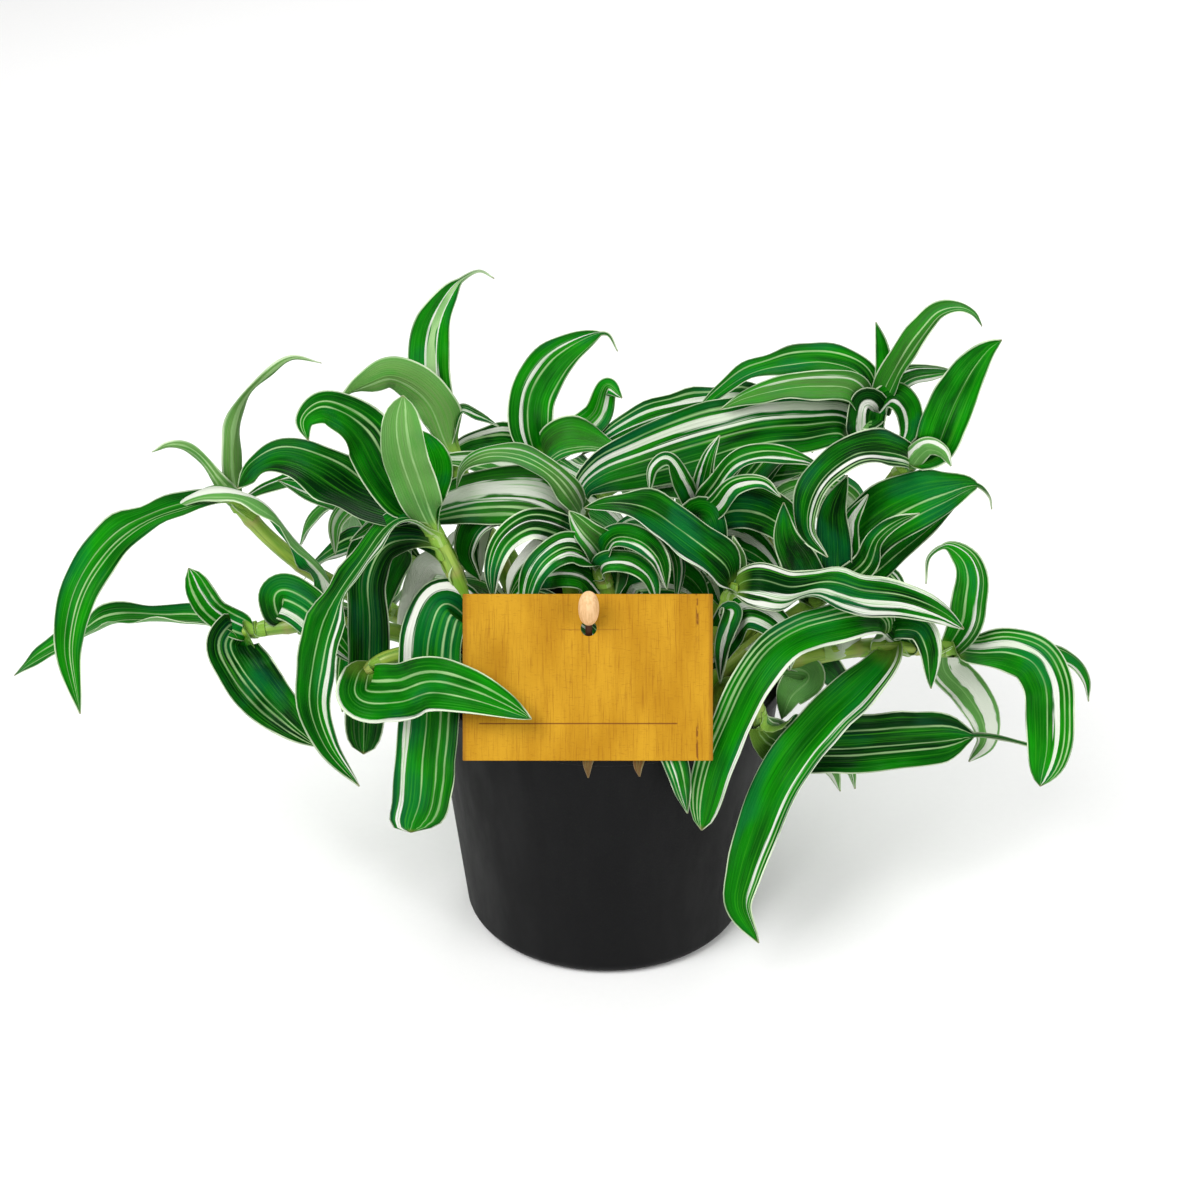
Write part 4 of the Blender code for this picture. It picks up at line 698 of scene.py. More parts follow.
        leaf(0.97, 13, [(114, 90, 8), (121, 82, 10), (127, 72, 12), (128.5, 62, 14), (123, 54, 16)],
             (170, 180, 180)),
        leaf(0.85, 10, [(95, 107, 22), (103, 106, 25), (107, 98, 28), (108.5, 83, 30)], (40, 10)),
        leaf(0.98, 12, [(118, 107, 14), (119, 116, 15), (119, 126, 16), (116, 133, 17), (110, 137, 18),
             (105, 133, 19), (104.5, 123, 20)], (0, 0, 20), tail=0.2),
        leaf(1.0, 17, [(124, 97, 14), (134, 97, 17), (142, 93.5, 21), (147, 85, 28), (149, 72, 34),
             (149.5, 58, 38), (148, 44, 40)], (30, 20, 5, 0), peak=0.42, blunt=5),
        leaf(0.97, 7, [(130, 96, -2), (145, 97, -8), (155, 93, -12), (160, 86, -14), (161.5, 78, -14)],
             (50, 20)),
        leaf(0.6, 10, [(80, 110, 14), (64, 106, 22), (46, 98, 30)], (170, 180), side=-1),
        leaf(0.3, 14, [(66, 88, 12), (61, 80, 14), (59, 71, 14)], (160, 180), side=-1),
        leaf(0.4, 11, [(72, 91, 10), (79, 86, 6), (87, 84, 2)], (30, 10), side=-1)]),
    ("shoot_right_front", (34, -31), [(40, 84, 38), (46, 82.5, 45), (50.5, 75, 50), (52, 67, 50)], [
        leaf(1.0, 20, [(62, 61.5, 48), (78, 60.5, 44), (94, 61.5, 40), (108, 63, 36), (118, 64, 32),
             (130, 64, 30), (142, 61, 28), (157, 56.5, 26)], (10, 10, 10), tail=0.3, peak=0.12, blunt=5),
        leaf(0.97, 9, [(60, 60, 42), (70, 56, 38), (77, 50, 36), (80, 42, 36)], (150, 180)),
        leaf(0.95, 8, [(62, 64, 38), (76, 58, 34), (83, 51, 32), (85, 43, 32)], (150, 180))]),
    ("shoot_front_low", (8, -44), [(8.3, 64.5, 54), (9, 66.5, 57)], [
        leaf(1.0, 9, [(14, 64.5, 64), (20.5, 61, 69.5), (24, 52, 72.4), (28, 33, 70)], (0, 0), fold=8),
        leaf(0.95, 6, [(2, 64, 63), (-4, 60.5, 69.5), (-6, 55, 72.8), (-6, 47.5, 73)], (0, 0), fold=0),
        leaf(0.95, 6, [(11, 62, 67), (11.3, 57, 71.5), (11, 52, 72.5), (11.5, 48, 72.4)], (0, 0), fold=0)]),
]

# name, foot (x, y) in the soil, top of the stem, number of leaves, azimuths in degrees
fillShoots = [
    ("shoot_far_left", (-26, 38), (-62, 70, 118), 6, (70, 230)),
    ("shoot_far_middle", (6, 48), (-4, 88, 114), 6, (10, 170)),
    ("shoot_far_right", (28, 38), (50, 74, 120), 6, (-30, 110)),
    ("shoot_side_left", (-40, 24), (-76, 48, 108), 5, (100, 260)),
    ("shoot_side_right", (40, 26), (78, 50, 108), 5, (-60, 90)),
    ("shoot_inner_left", (-22, -4), (-38, 2, 116), 4, (110, 330)),
    ("shoot_inner_middle", (10, 18), (14, 20, 124), 4, (-120, 160)),
]


def marked(tone, white=(), fine=(), pale=0.0, dry=0.0, plain=False):
    # how light the green is, then the white stripes and the fine pale ones, up to three of each, as
    # (place across the blade from -1 to 1, half width); pale is 0.5 for a light green blade, 1 for a white
    # one and below 0 for a plain one, which has no hairlines
    return dict(tone=tone, white=list(white), fine=list(fine), pale=-0.1 if plain else pale, dry=dry)


leafLooks = {
    "shoot_left_upper": {
        0: marked(0.42, fine=[(-0.1, 0.03), (-0.3, 0.02), (0.25, 0.015)]),
        1: marked(0.5, fine=[(0.2, 0.2)], pale=0.5),
        2: marked(0.6, fine=[(0.2, 0.1), (-0.4, 0.1)], pale=0.42),
        3: marked(0.45, [(-0.05, 0.36)], [(0.7, 0.04)])},
    "shoot_left_lower": {
        0: marked(0.4, fine=[(-0.2, 0.05), (0.4, 0.04)]),
        1: marked(0.55, [(0.1, 0.05)], [(-0.45, 0.07), (0.55, 0.05)]),
        2: marked(0.12, fine=[(0.25, 0.035), (0.5, 0.03), (0.05, 0.02)]),
        3: marked(0.35, [(0.6, 0.14)], [(0.1, 0.04), (-0.3, 0.03)])},
    "shoot_left_tall": {
        0: marked(0.1, fine=[(0.6, 0.02)], plain=True),
        1: marked(0.3, fine=[(0.4, 0.04), (0.12, 0.03)], plain=True),
        2: marked(0.3, fine=[(-0.25, 0.05), (0.2, 0.03)], pale=0.27), 3: marked(0.6),
        4: marked(0.25, [(-0.6, 0.09)], [(0.2, 0.025), (-0.25, 0.03)]),
        5: marked(0.3, [(0.72, 0.1)], [(-0.35, 0.03), (-0.62, 0.035), (0.12, 0.015)]),
        6: marked(0.08, fine=[(0.0, 0.03)]), 7: marked(0.5, pale=1.0), 8: marked(0.2)},
    "shoot_left_front": {
        0: marked(0.38, [(0.97, 0.06)], [(-0.1, 0.03), (-0.45, 0.045), (0.3, 0.02)])},
    "shoot_back_left": {
        0: marked(0.5, [(-0.15, 0.035), (0.36, 0.03)], [(0.1, 0.2)]),
        1: marked(0.7, fine=[(0.2, 0.05)], pale=0.45), 3: marked(0.2, [(0.3, 0.2)]),
        4: marked(0.15, [(0.4, 0.08)])},
    "shoot_back_middle": {
        0: marked(0.45, [(-0.4, 0.05)], [(-0.12, 0.03), (0.75, 0.02)]), 1: marked(0.65, [(0.3, 0.12)])},
    "shoot_centre": {
        0: marked(0.25, [(0.3, 0.24), (-0.1, 0.04)], [(-0.35, 0.04), (-0.62, 0.05)], pale=0.06),
        1: marked(0.4, [(0.55, 0.07)], [(-0.2, 0.06), (0.2, 0.04)], pale=0.27),
        2: marked(0.3, [(0.2, 0.3)], [(-0.5, 0.05)], pale=0.12),
        5: marked(0.1, [(-0.85, 0.15), (0.2, 0.03)], [(-0.3, 0.05), (0.55, 0.03)]), 6: marked(0.5, pale=1.0),
        7: marked(0.08, [(-0.55, 0.4)], [(0.3, 0.03), (0.6, 0.03)], plain=True)},
    "shoot_behind_tag": {
        0: marked(0.25, [(-0.35, 0.1), (0.45, 0.08)], [(0.05, 0.03)]),
        1: marked(0.25, [(0.5, 0.1)], [(0.1, 0.04)]), 2: marked(0.3, [(0.1, 0.12)]),
        3: marked(0.2, [(-0.4, 0.12)], [(0.3, 0.04)])},
    "shoot_front_right": {
        0: marked(0.1, [(-0.93, 0.06)], [(0.2, 0.02)], plain=True),
        1: marked(0.1, [(0.26, 0.13), (0.74, 0.12), (-0.86, 0.05)], [(-0.3, 0.02)]),
        2: marked(0.2, [(0.0, 0.2)]), 4: marked(0.15, [(-0.45, 0.2), (0.4, 0.14)])},
    "shoot_inner_right": {
        0: marked(0.3, [(0.3, 0.2)]), 2: marked(0.3, [(0.35, 0.14)], [(-0.3, 0.06)]),
        3: marked(0.3, [(0.1, 0.22)], [(-0.6, 0.05)]), 4: marked(0.1), 5: marked(0.15, fine=[(0.2, 0.04)]),
        7: marked(0.15, [(0.0, 0.2)])},
    "shoot_right_middle": {
        0: marked(0.32, fine=[(0.15, 0.03), (0.5, 0.012)], plain=True), 1: marked(0.02),
        2: marked(0.2, [(0.0, 0.35)]), 3: marked(0.15, fine=[(0.3, 0.06), (-0.2, 0.05)]),
        4: marked(0.2, fine=[(0.2, 0.04)]), 5: marked(0.1, fine=[(0.3, 0.05)]), 6: marked(0.1)},
    "shoot_right_top": {
        0: marked(0.55), 1: marked(0.45, fine=[(0.0, 0.05), (0.5, 0.04)], pale=0.1),
        2: marked(0.38, fine=[(0.5, 0.04), (-0.2, 0.015)], plain=True),
        3: marked(0.4, [(0.55, 0.06)], [(0.0, 0.02)], pale=0.22),
        4: marked(0.12, [(0.5, 0.1), (0.2, 0.05)], [(-0.06, 0.02), (0.74, 0.03), (-0.5, 0.015)]),
        5: marked(0.15, [(0.3, 0.1), (-0.3, 0.05)], [(0.7, 0.04)]), 6: marked(0.1, [(0.2, 0.2)]),
        7: marked(0.3, [(0.3, 0.1)]), 9: marked(0.15, [(0.2, 0.12)])},
    "shoot_right_upper": {
        0: marked(0.45, fine=[(0.1, 0.014)], plain=True),
        1: marked(0.08, [(-0.5, 0.08)], [(-0.76, 0.04), (-0.2, 0.03)])},
    "shoot_right_low": {
        0: marked(0.4, [(-0.93, 0.08)], [(0.5, 0.045), (0.28, 0.03), (0.74, 0.03)]),
        1: marked(0.42, [(-0.98, 0.05), (-0.6, 0.045)], [(-0.8, 0.02)], plain=True),
        2: marked(0.3, [(0.35, 0.36), (-0.75, 0.1)], [(-0.2, 0.04)]),
        3: marked(0.15, [(-0.8, 0.1)], [(0.3, 0.04)]),
        4: marked(0.6, [(0.38, 0.08)], [(-0.2, 0.05), (0.68, 0.03)]),
        5: marked(0.42, [(-0.3, 0.1)], [(0.08, 0.02), (-0.6, 0.03), (-0.8, 0.03)], plain=True),
        7: marked(0.4, pale=0.8), 8: marked(0.15, fine=[(0.2, 0.05)]), 9: marked(0.1)},
    "shoot_right_front": {
        0: marked(0.08, fine=[(-0.45, 0.025), (0.35, 0.025), (0.12, 0.012)])},
    "shoot_front_low": {
        0: marked(0.3, [(0.3, 0.06)], [(-0.3, 0.06), (0.65, 0.06)]), 1: marked(0.2, dry=0.9),
        2: marked(0.2, dry=0.9)},
}


def rowUnits(rows):
    return rows / np.linalg.norm(rows, axis=1)[:, None]


def squareTo(headings, rows):
    # the rows turned square to the headings, each of length 1
    return rowUnits(rows - headings * (rows * headings).sum(axis=1)[:, None])


def summed(steps):
    return np.concatenate([[0.0], np.cumsum(steps)])


def gapsOf(points):
    return np.linalg.norm(np.diff(points, axis=0), axis=1)


def sampled(at, run, rows):
    return np.stack([np.interp(at, run, rows[:, k]) for k in range(3)], axis=-1)


def between(a, b, ta, tb, t):
    return (tb - t) / (tb - ta) * a + (t - ta) / (tb - ta) * b


def smoothPath(points, step, bend, least, greatest):
    # a rounded curve through the points, with stations along it that stand closer where it bends;
    # step is in mm and bend in degrees, and the curve is first drawn with 12 points between two of the given
    ends = [2 * points[0] - points[1]] + list(points) + [2 * points[-1] - points[-2]]
    dense = []
    for a, b, c, d in zip(ends, ends[1:], ends[2:], ends[3:]):
        t1 = math.sqrt(np.linalg.norm(b - a))
        t2 = t1 + math.sqrt(np.linalg.norm(c - b))
        t3 = t2 + math.sqrt(np.linalg.norm(d - c))
        for t in np.linspace(t1, t2, 12, endpoint=False):
            ab, bc, cd = between(a, b, 0.0, t1, t), between(b, c, t1, t2, t), between(c, d, t2, t3, t)
            dense.append(between(between(ab, bc, 0.0, t2, t), between(bc, cd, t1, t3, t), t1, t2, t))
    dense = np.array(dense + [points[-1]])
    gaps = gapsOf(dense)
    run = summed(gaps)
    along = rowUnits(np.gradient(dense, run, axis=0))
    turn = np.arccos(np.clip((along[1:] * along[:-1]).sum(axis=1), -1.0, 1.0))
    weight = summed(gaps / step + turn / math.radians(bend))
    count = min(greatest, max(least, math.ceil(weight[-1])))
    at = np.interp(np.linspace(0.0, weight[-1], count + 1), weight, run)
    return sampled(at, run, dense), rowUnits(sampled(at, run, along)), at / run[-1], run[-1]


def pointOn(stations, fraction, back=0.0):
    run = summed(gapsOf(stations))
    return sampled(max(0.0, fraction * run[-1] - back), run, stations)


stem = {"radius": 3.1, "topRadius": 2.4, "taperFrom": 0.3, "foot": 0.4, "straight": 6.0, "sides": 14,
        "step": 30.0, "bend": 40.0, "leastSteps": 3, "mostSteps": 6, "mostFillSteps": 5,
        "fineStep": 2.4, "fineBend": 12.0, "leastFineSteps": 14, "mostFineSteps": 70,
        "knotFrom": 22.0, "knotGaps": (20, 26), "knotHalf": 1.6, "swelling": 0.35, "ring": 0.55,
        "markRun": 60.0, "tipShape": (0.97, 0.85, 0.5), "seed": 21,
        "green": (0.12, 0.30, 0.012), "pale": (0.32, 0.45, 0.06), "dark": (0.035, 0.11, 0.006),
        "sheath": (0.30, 0.24, 0.08)}


def makeStemMaterial():
    material, tree = newMaterial("stem_green", {"Roughness": 0.42})
    around, along = partsOf(addNode(tree, "ShaderNodeUVMap", uv_map="UVMap").outputs[0])[:2]
    place = joined(tree, times(around, 9.0), times(along, 5.0), readAttribute(tree, "leafSeed"))
    streaks = noiseOf(scaled(place, 3.0, 0.7, 1.0), 1.0, 3.0)
    colour = layered(mixed(fade(noiseOf(place, 0.5), 0.3, 0.7), stem["green"], stem["pale"]),
                     (fade(streaks, 0.5, 0.75, 0.0, 0.6), stem["dark"]),
                     (readAttribute(tree, "nodeRing"), stem["sheath"]))
    return dressed(material, colour, streaks, 0.4, 0.0004)


def sweep(lines, section, scale=None):
    inputs = {"Curve": lines, "Profile Curve": section, "Fill Caps": True}
    if scale is not None:
        inputs["Scale"] = scale
    return geoNode(lines.id_data, "CurveToMesh", inputs)


def endSweep(swept, around, along, finish):
    # the UV map of what was swept, then smooth faces and the tree's end
    tree = swept.id_data
    swept = storeNamed(swept, "UVMap", joined(tree, around, along), "FLOAT2", "CORNER")
    return endTree(geoNode(tree, "SetShadeSmooth", {"Geometry": swept}), finish)


def makeStemTree():
    # a round section along each stem, as thick as its radius attribute says
    tree, paths, sides, finish = newTree("stems", {"Sides": "Int", "Stem": "Material"})
    section = geoNode(tree, "CurvePrimitiveCircle", {"Resolution": sides, "Radius": mm})
    factor = addNode(tree, "GeometryNodeSplineParameter").outputs["Factor"]
    section = storeNamed(section, "aroundStem", factor)
    swept = sweep(geoNode(tree, "MeshToCurve", {"Mesh": paths}), section, readNamed(tree, "stemRadius"))
    return endSweep(swept, readNamed(tree, "aroundStem"), readNamed(tree, "along"), finish)


# how the leaves are laid out: shifts towards or away from the viewpoint, and the rule for the unseen shoots
layout = {"shiftStep": 3.0, "shiftTries": 15, "tipOff": 0.6, "seed": 14, "tries": 60, "fillTipOff": 0.45,
          "middle": (0.25, 0.25, 0.8), "at": (0.8, 1.0), "width": (13, 18), "firstRoll": (-12, 12),
          "lastRoll": (-25, 25), "fold": (10, 24), "climb": (15, 65), "droop": (-80, -35),
          "length": (60, 104), "shorter": 0.4, "steps": 6, "curl": 0.8}


def stemPaths():
    # for each shoot, the coarse path that the leaves' places are counted along, and the fine one that shows
    paths = {}
    low, rise = soil["top"] - soil["holeDepth"] + stem["foot"], soil["top"] + stem["straight"]
    middle = np.array(layout["middle"])
    routes = [(name, foot, [placed(p) for p in points], stem["mostSteps"])
              for name, foot, points, leaves in shoots]
    for name, foot, top, count, sector in fillShoots:
        halfway = np.array([*foot, soil["top"]]) * (1 - middle) + np.array(top) * middle
        routes.append((name, foot, [halfway, np.array(top, dtype=float)], stem["mostFillSteps"]))
    for name, foot, points, greatest in routes:
        route = [np.array([*foot, rise], dtype=float)] + points
        coarse = smoothPath(route, stem["step"], stem["bend"], stem["leastSteps"], greatest)[0]
        fine = smoothPath(route, stem["fineStep"], stem["fineBend"], stem["leastFineSteps"],
                          stem["mostFineSteps"])[0]
        paths[name] = [np.concatenate([[[*foot, low]], line]) for line in (coarse, fine)]
    return paths


blade = {"thickness": 0.75, "pointsRound": 24, "spacing": 2.7, "bend": 11.0, "leastStations": 14,
         "mostStations": 46, "baseShare": 0.34, "taperFrom": 0.42, "taperRun": 0.58, "taperPower": 0.8,
         "rootDepth": 4.5, "rootBack": 1.5, "claspRun": 15.0, "claspTrough": 1.9, "claspGap": 0.3,
         "claspShare": 0.75, "foldTrough": 1.2, "foldCrease": 0.42, "leastTrough": 0.02,
         "tipHalf": 0.25, "tipGain": 0.85, "tipRun": 0.2, "thinTo": 0.25, "farRun": 900.0,
         "twist": 10.0, "twistTurns": 7.0, "wander": 0.9, "wanderRun": 6.5, "waveTurns": 5.5,
         "marginRipple": 0.95, "rippleWidth": 16, "rippleRuns": (5.2, 2.6), "flutterRuns": (4.1, 2.2),
         "slantRun": 22.0, "seed": 5,
         "dark": (0.0001, 0.018, 0.0015), "bright": (0.005, 0.27, 0.001), "paintedSheen": (0.0015, 0.085, 0.036),
         "white": (0.63, 0.64, 0.585), "fine": (0.36, 0.56, 0.25), "margin": (0.60, 0.71, 0.48),
         "vein": (0.04, 0.29, 0.01), "shade": (0.0001, 0.010, 0.0008), "under": (0.13, 0.32, 0.08),
         "pale": (0.14, 0.27, 0.075), "blanched": (0.77, 0.77, 0.71), "dry": (0.15, 0.055, 0.018),
         "base": (0.24, 0.42, 0.05)}


def makeLeafMaterial():
    look = blade
    material, tree = newMaterial("leaf_striped", {"Roughness": 0.38, "Specular IOR Level": 0.08,
                                                  "Specular Tint": (0.45, 1.0, 0.45, 1.0)})
    across, along = partsOf(addNode(tree, "ShaderNodeUVMap", uv_map="UVMap").outputs[0])[:2]
    tone, pale, dry = partsOf(readAttribute(tree, "leafTone", "Vector"))
    side = timesPlus(across, 2.0, -1.0)
    place = joined(tree, side, along, readAttribute(tree, "leafSeed"))

    def noise(x, y, detail=2.0, roughness=0.5):
        # the larger the numbers, the finer the pattern across and along the blade
        return noiseOf(scaled(place, x, y, 1.0), 1.0, detail, roughness)

    wander, streaks, blotch = noise(0.6, 3.0), noise(16.0, 1.6, 3.0, 0.6), noise(1.3, 3.2, 3.0)
    wavy = plus(side, timesPlus(wander, 0.12, -0.06))

    def stripesOf(group, soft, fray):
        masks = []
        centres, widths = [partsOf(readAttribute(tree, name, "Vector")) for name in (group, group + "Half")]
        for number, (centre, width) in enumerate(zip(centres, widths)):
            off = plus(absolute(minus(wavy, centre)), timesPlus(streaks, fray, -fray / 2))
            width = times(width, fade(noise(0.2, 5.0 + number), 0.25, 0.7, 0.55, 1.35))
            masks.append(fade(minus(off, width), -soft, soft, 1.0, 0.0))
        return most(*masks)

    stripes, fine = stripesOf("broadStripes", 0.03, 0.3), stripesOf("fineStripes", 0.025, 0.08)
    # some leaves have hairlines as well, but not the plain ones
    lined = times(fade(noise(0.0, 0.0), 0.5, 0.65, 0.0, 0.35), calc("GREATER_THAN", pale, -0.05))
    fine = most(fine, times(fade(noise(12.0, 0.4, 1.0), 0.6, 0.66), lined))
    faint = times(fine, fade(noise(1.4, 4.0), 0.3, 0.65, 0.4, 0.85))
    # fine green lines run inside the white stripes, and fine pale ones through the green
    stripeColour = layered(look["white"], (times(fade(streaks, 0.54, 0.64), 0.6), look["vein"]),
                           (fade(blotch, 0.4, 0.65, 0.0, 0.3), look["fine"]))
    room = times(minus(1.0, absolute(side)), readAttribute(tree, "halfWidth"))     # mm to the edge
    room = plus(plus(room, timesPlus(streaks, 0.6, -0.3)), timesPlus(wander, 1.0, -0.5))
    # painted light: the green brightens towards the tip, as where light comes through, on top of blotches of
    # random tone
    paintedLightAndTone = plus(timesPlus(along, 0.25, -0.08), timesPlus(blotch, 1.7, -0.85))
    green = layered(mixed(plus(tone, paintedLightAndTone, clamp=True), look["dark"], look["bright"]),
                    # painted sheen: a blue-green cast in slow patches
                    (fade(wander, 0.5, 0.68, 0.0, 0.5), look["paintedSheen"]),
                    (fade(streaks, 0.5, 0.78, 0.0, 0.6), look["vein"]),
                    (fade(streaks, 0.46, 0.25, 0.0, 0.55), look["shade"]),
                    (fade(room, 0.5, 1.4, 0.4, 0.0), look["shade"]),
                    (faint, look["fine"]))
    # the lower face is paler, with the stripes showing through it
    lower = mixed(times(stripes, 0.8), mixed(0.7, green, look["under"]), look["blanched"])
    paleGreen = layered(mixed(fade(streaks, 0.35, 0.7, 0.0, 0.5), look["pale"], look["vein"]),
                        (fade(blotch, 0.45, 0.7, 0.0, 0.5), green), (faint, look["fine"]))
    blanched = mixed(fade(streaks, 0.55, 0.75, 0.0, 0.5), look["blanched"], look["fine"])
    # a light green blade keeps darker sides
    whiteness = timesPlus(pale, 2.0, -1.0, clamp=True)
    paleness = times(times(pale, 2.0, clamp=True), fade(absolute(wavy), 0.5, 0.9, 1.0, 0.45))
    margin = times(fade(room, 0.12, 0.55, 1.0, 0.0), fade(noise(1.0, 5.0), 0.3, 0.65, 0.35, 1.0))
    brown = mixed(fade(streaks, 0.4, 0.7, 0.0, 0.2), look["dry"], look["fine"])
    scorched = times(fade(timesPlus(blotch, 0.03, along), 0.995, 1.015), 0.5)
    colour = layered(mixed(stripes, green, stripeColour),
                     (readAttribute(tree, "underside"), lower),
                     (most(paleness, whiteness), paleGreen),
                     (whiteness, blanched),
                     (margin, look["margin"]),
                     (fade(along, 0.02, 0.14, 0.8, 0.0), look["base"]),
                     (most(dry, scorched), brown))
    # raised lengthwise veins and a shallow groove over the midrib
    veins = times(calc("SINE", times(wavy, 58.0)), 0.3)
    height = plus(plus(veins, fade(absolute(side), 0.0, 0.09, -1.2, 0.0)), streaks)
    return dressed(material, colour, height, 0.5, 0.00025, fade(streaks, 0.3, 0.8, 0.32, 0.48))


def makeBladeTree():
    # sweeps a lens section along each rib; the ribs carry the blade's width, its trough and its ripples
    tree, ribs, pointsRound, thickness, finish = newTree("leaf_blades", {
        "Points round": "Int", "Thickness": "Float", "Leaf": "Material"})
    here = geoNode(tree, "InputPosition")
    lines = storeNamed(geoNode(tree, "MeshToCurve", {"Mesh": ribs}), "ribCentre", here, "FLOAT_VECTOR")
    section = geoNode(tree, "CurvePrimitiveCircle", {"Resolution": pointsRound, "Radius": 1.0})
    for name, place in zip(("sectionX", "sectionY"), partsOf(here)):
        section = storeNamed(section, name, place)
    swept = sweep(lines, section)
    v, s, half, trough, ripple, flutter, crease, body, along = [readNamed(tree, name) for name in (
        "sectionX", "sectionY", "halfWidth", "trough", "ripple", "flutter", "crease", "body", "along")]
    turn = times(trough, v)
    sideways = calc("DIVIDE", times(half, calc("SINE", turn)), trough)
    rise = calc("DIVIDE", times(half, minus(1.0, calc("COSINE", turn))), trough)
    rise = plus(plus(rise, times(ripple, v)), times(flutter, times(v, v)))
    rise = timesPlus(times(half, crease), absolute(v), rise)
    rise = timesPlus(s, times(times(thickness, 0.5 / mm), body), rise)
    moved = readNamed(tree, "ribCentre", "FLOAT_VECTOR")
    for direction, amount in (("ribAcross", sideways), ("ribNormal", rise)):
        ray = readNamed(tree, direction, "FLOAT_VECTOR")
        step = addNode(tree, "ShaderNodeVectorMath", {0: ray, "Scale": times(amount, mm)},
                       operation="SCALE").outputs[0]
        moved = addNode(tree, "ShaderNodeVectorMath", {0: moved, 1: step}, operation="ADD").outputs[0]
    shaped = geoNode(tree, "SetPosition", {"Geometry": swept, "Position": moved})
    shaped = storeNamed(shaped, "underside", timesPlus(s, -4.0, 0.5, clamp=True))
    return endSweep(shaped, timesPlus(v, 0.5, 0.5), along, finish)


def bladeHalf(u, spec):
    taper = min(1.0, max(0.0, (u - blade["taperFrom"]) / (blade["taperRun"] - spec["tail"])))
    opened = math.sin(math.pi / 2 * min(1.0, u / spec["peak"]))
    opened = blade["baseShare"] + (1 - blade["baseShare"]) * opened
    return spec["width"] / 2 * opened * (1 - taper ** spec["blunt"]) ** blade["taperPower"]


def settled(rows, rounds=2):
    # evens out directions along a rib
    for k in range(rounds):
        padded = np.concatenate([rows[:1], rows, rows[-1:]])
        rows = rowUnits(padded[:-2] * 0.25 + padded[1:-1] * 0.5 + padded[2:] * 0.25)
    return rows


def bladeRib(spec, path, coarse, reference, rng):
    # the line that a blade is swept along, with what its section needs at each station
    size = blade
    root = [pointOn(coarse, spec["at"], back)
            for back in (size["rootDepth"] + size["rootBack"], size["rootBack"])]
    places, headings, shares, length = smoothPath(root + path, size["spacing"], size["bend"],
                                                  size["leastStations"], size["mostStations"])
    run = shares * length
    if reference is None:
        looks = np.array([unit(viewpoint - p) for p in places])
        scale = 1 + places[:, 1] / size["farRun"]       # farther leaves look as wide, so they are wider
    else:
        looks, scale = np.tile(reference, (len(places), 1)), np.ones(len(places))
    normals = squareTo(headings, looks)
    sign = 1.0 if places[-1][0] < places[0][0] else -1.0
    rolls = np.interp(shares, np.linspace(0, 1, len(spec["rolls"])), spec["rolls"]) * sign
    phase = rng.uniform(0, 2 * math.pi, 6)
    rolls = np.radians(rolls + size["twist"] * np.sin(shares * size["twistTurns"] + phase[4]) * shares)
    normals = np.cos(rolls)[:, None] * normals + np.sin(rolls)[:, None] * np.cross(headings, normals)
    # the base clasps the stem: there the blade's face looks to the stem's axis
    stemHeading = unit(root[1] - root[0])
    outward = path[0] - root[1]
    outward = outward - stemHeading * (outward @ stemHeading)
    clasp = np.clip(run / size["claspRun"], 0.0, 1.0)
    clasp = clasp * clasp * (3 - 2 * clasp)
    if np.linalg.norm(outward) > 1.0:
        inward = -unit(outward)
        # a blade that faces away from the stem turns to its own side in half the run
        if (normals[min(4, len(normals) - 1)] @ inward) < -0.2:
            clasp = np.clip(clasp * 2.0, 0.0, 1.0)
        normals = normals * clasp[:, None] + inward * (1 - clasp)[:, None]
    normals = squareTo(headings, settled(squareTo(headings, normals)))
    slant = spec["slant"] * np.maximum(0.0, 1 - length * (1 - shares) / size["slantRun"])
    across = np.cross(headings, normals) + headings * slant[:, None]
    stemR = stem["topRadius"] + size["claspGap"]
    half = np.array([bladeHalf(u, spec) for u in shares]) * scale
    half = half * clasp + min(2.0 * stemR, size["claspShare"] * spec["width"]) * (1 - clasp)
    least = size["tipHalf"] + size["tipGain"] * np.clip((1 - shares) / size["tipRun"], 0.0, 1.0)
    half = np.maximum(half, least)
    fold = math.radians(spec["fold"])
    trough = size["foldTrough"] * fold * clasp + size["claspTrough"] * (1 - clasp)
    trough = np.where(np.abs(trough) < size["leastTrough"], size["leastTrough"], trough)
    swell = np.sin(math.pi * shares)
    wander = size["wander"] * swell * np.sin(run / size["wanderRun"] + phase[5])
    centres = places - normals * (stemR * (1 - clasp))[:, None] + normals * wander[:, None]
    spread = size["marginRipple"] * spec["width"] / size["rippleWidth"] * swell
    (slow, quick), (slower, quicker) = size["rippleRuns"], size["flutterRuns"]
    ripple = -spec["wave"] * swell * np.sin(size["waveTurns"] * math.pi * shares)
    ripple = ripple + spread * np.sin(run / slow + phase[0]) + spread * 0.6 * np.sin(run / quick + phase[1])
    flutter = spread * np.sin(run / slower + phase[2]) + spread * 0.5 * np.sin(run / quicker + phase[3])
    return dict(centre=centres, ribAcross=across, ribNormal=normals, halfWidth=half, trough=trough,
                ripple=ripple, flutter=flutter, crease=math.sin(fold) * size["foldCrease"] * clasp,
                body=np.clip(half / 2.0, size["thinTo"], 1.0), along=shares)


def randomLook(rng):
    # a leaf that no view in front shows well gets markings like its neighbours'
    spots = [-0.72, -0.5, -0.26, 0.02, 0.3, 0.52, 0.74]
    rng.shuffle(spots)
    white = [(spots[0] + rng.uniform(-0.06, 0.06), rng.uniform(0.06, 0.2))][:int(rng.uniform() < 0.8)]
    if rng.uniform() < 0.3:
        white.append((spots[1], rng.uniform(0.03, 0.07)))
    fine = [(spot + rng.uniform(-0.06, 0.06), rng.uniform(0.015, 0.045)) for spot in spots[2:4]]
    return marked(rng.uniform(0.08, 0.55), white, fine, pale=max(0.0, rng.uniform(-0.6, 0.35)))


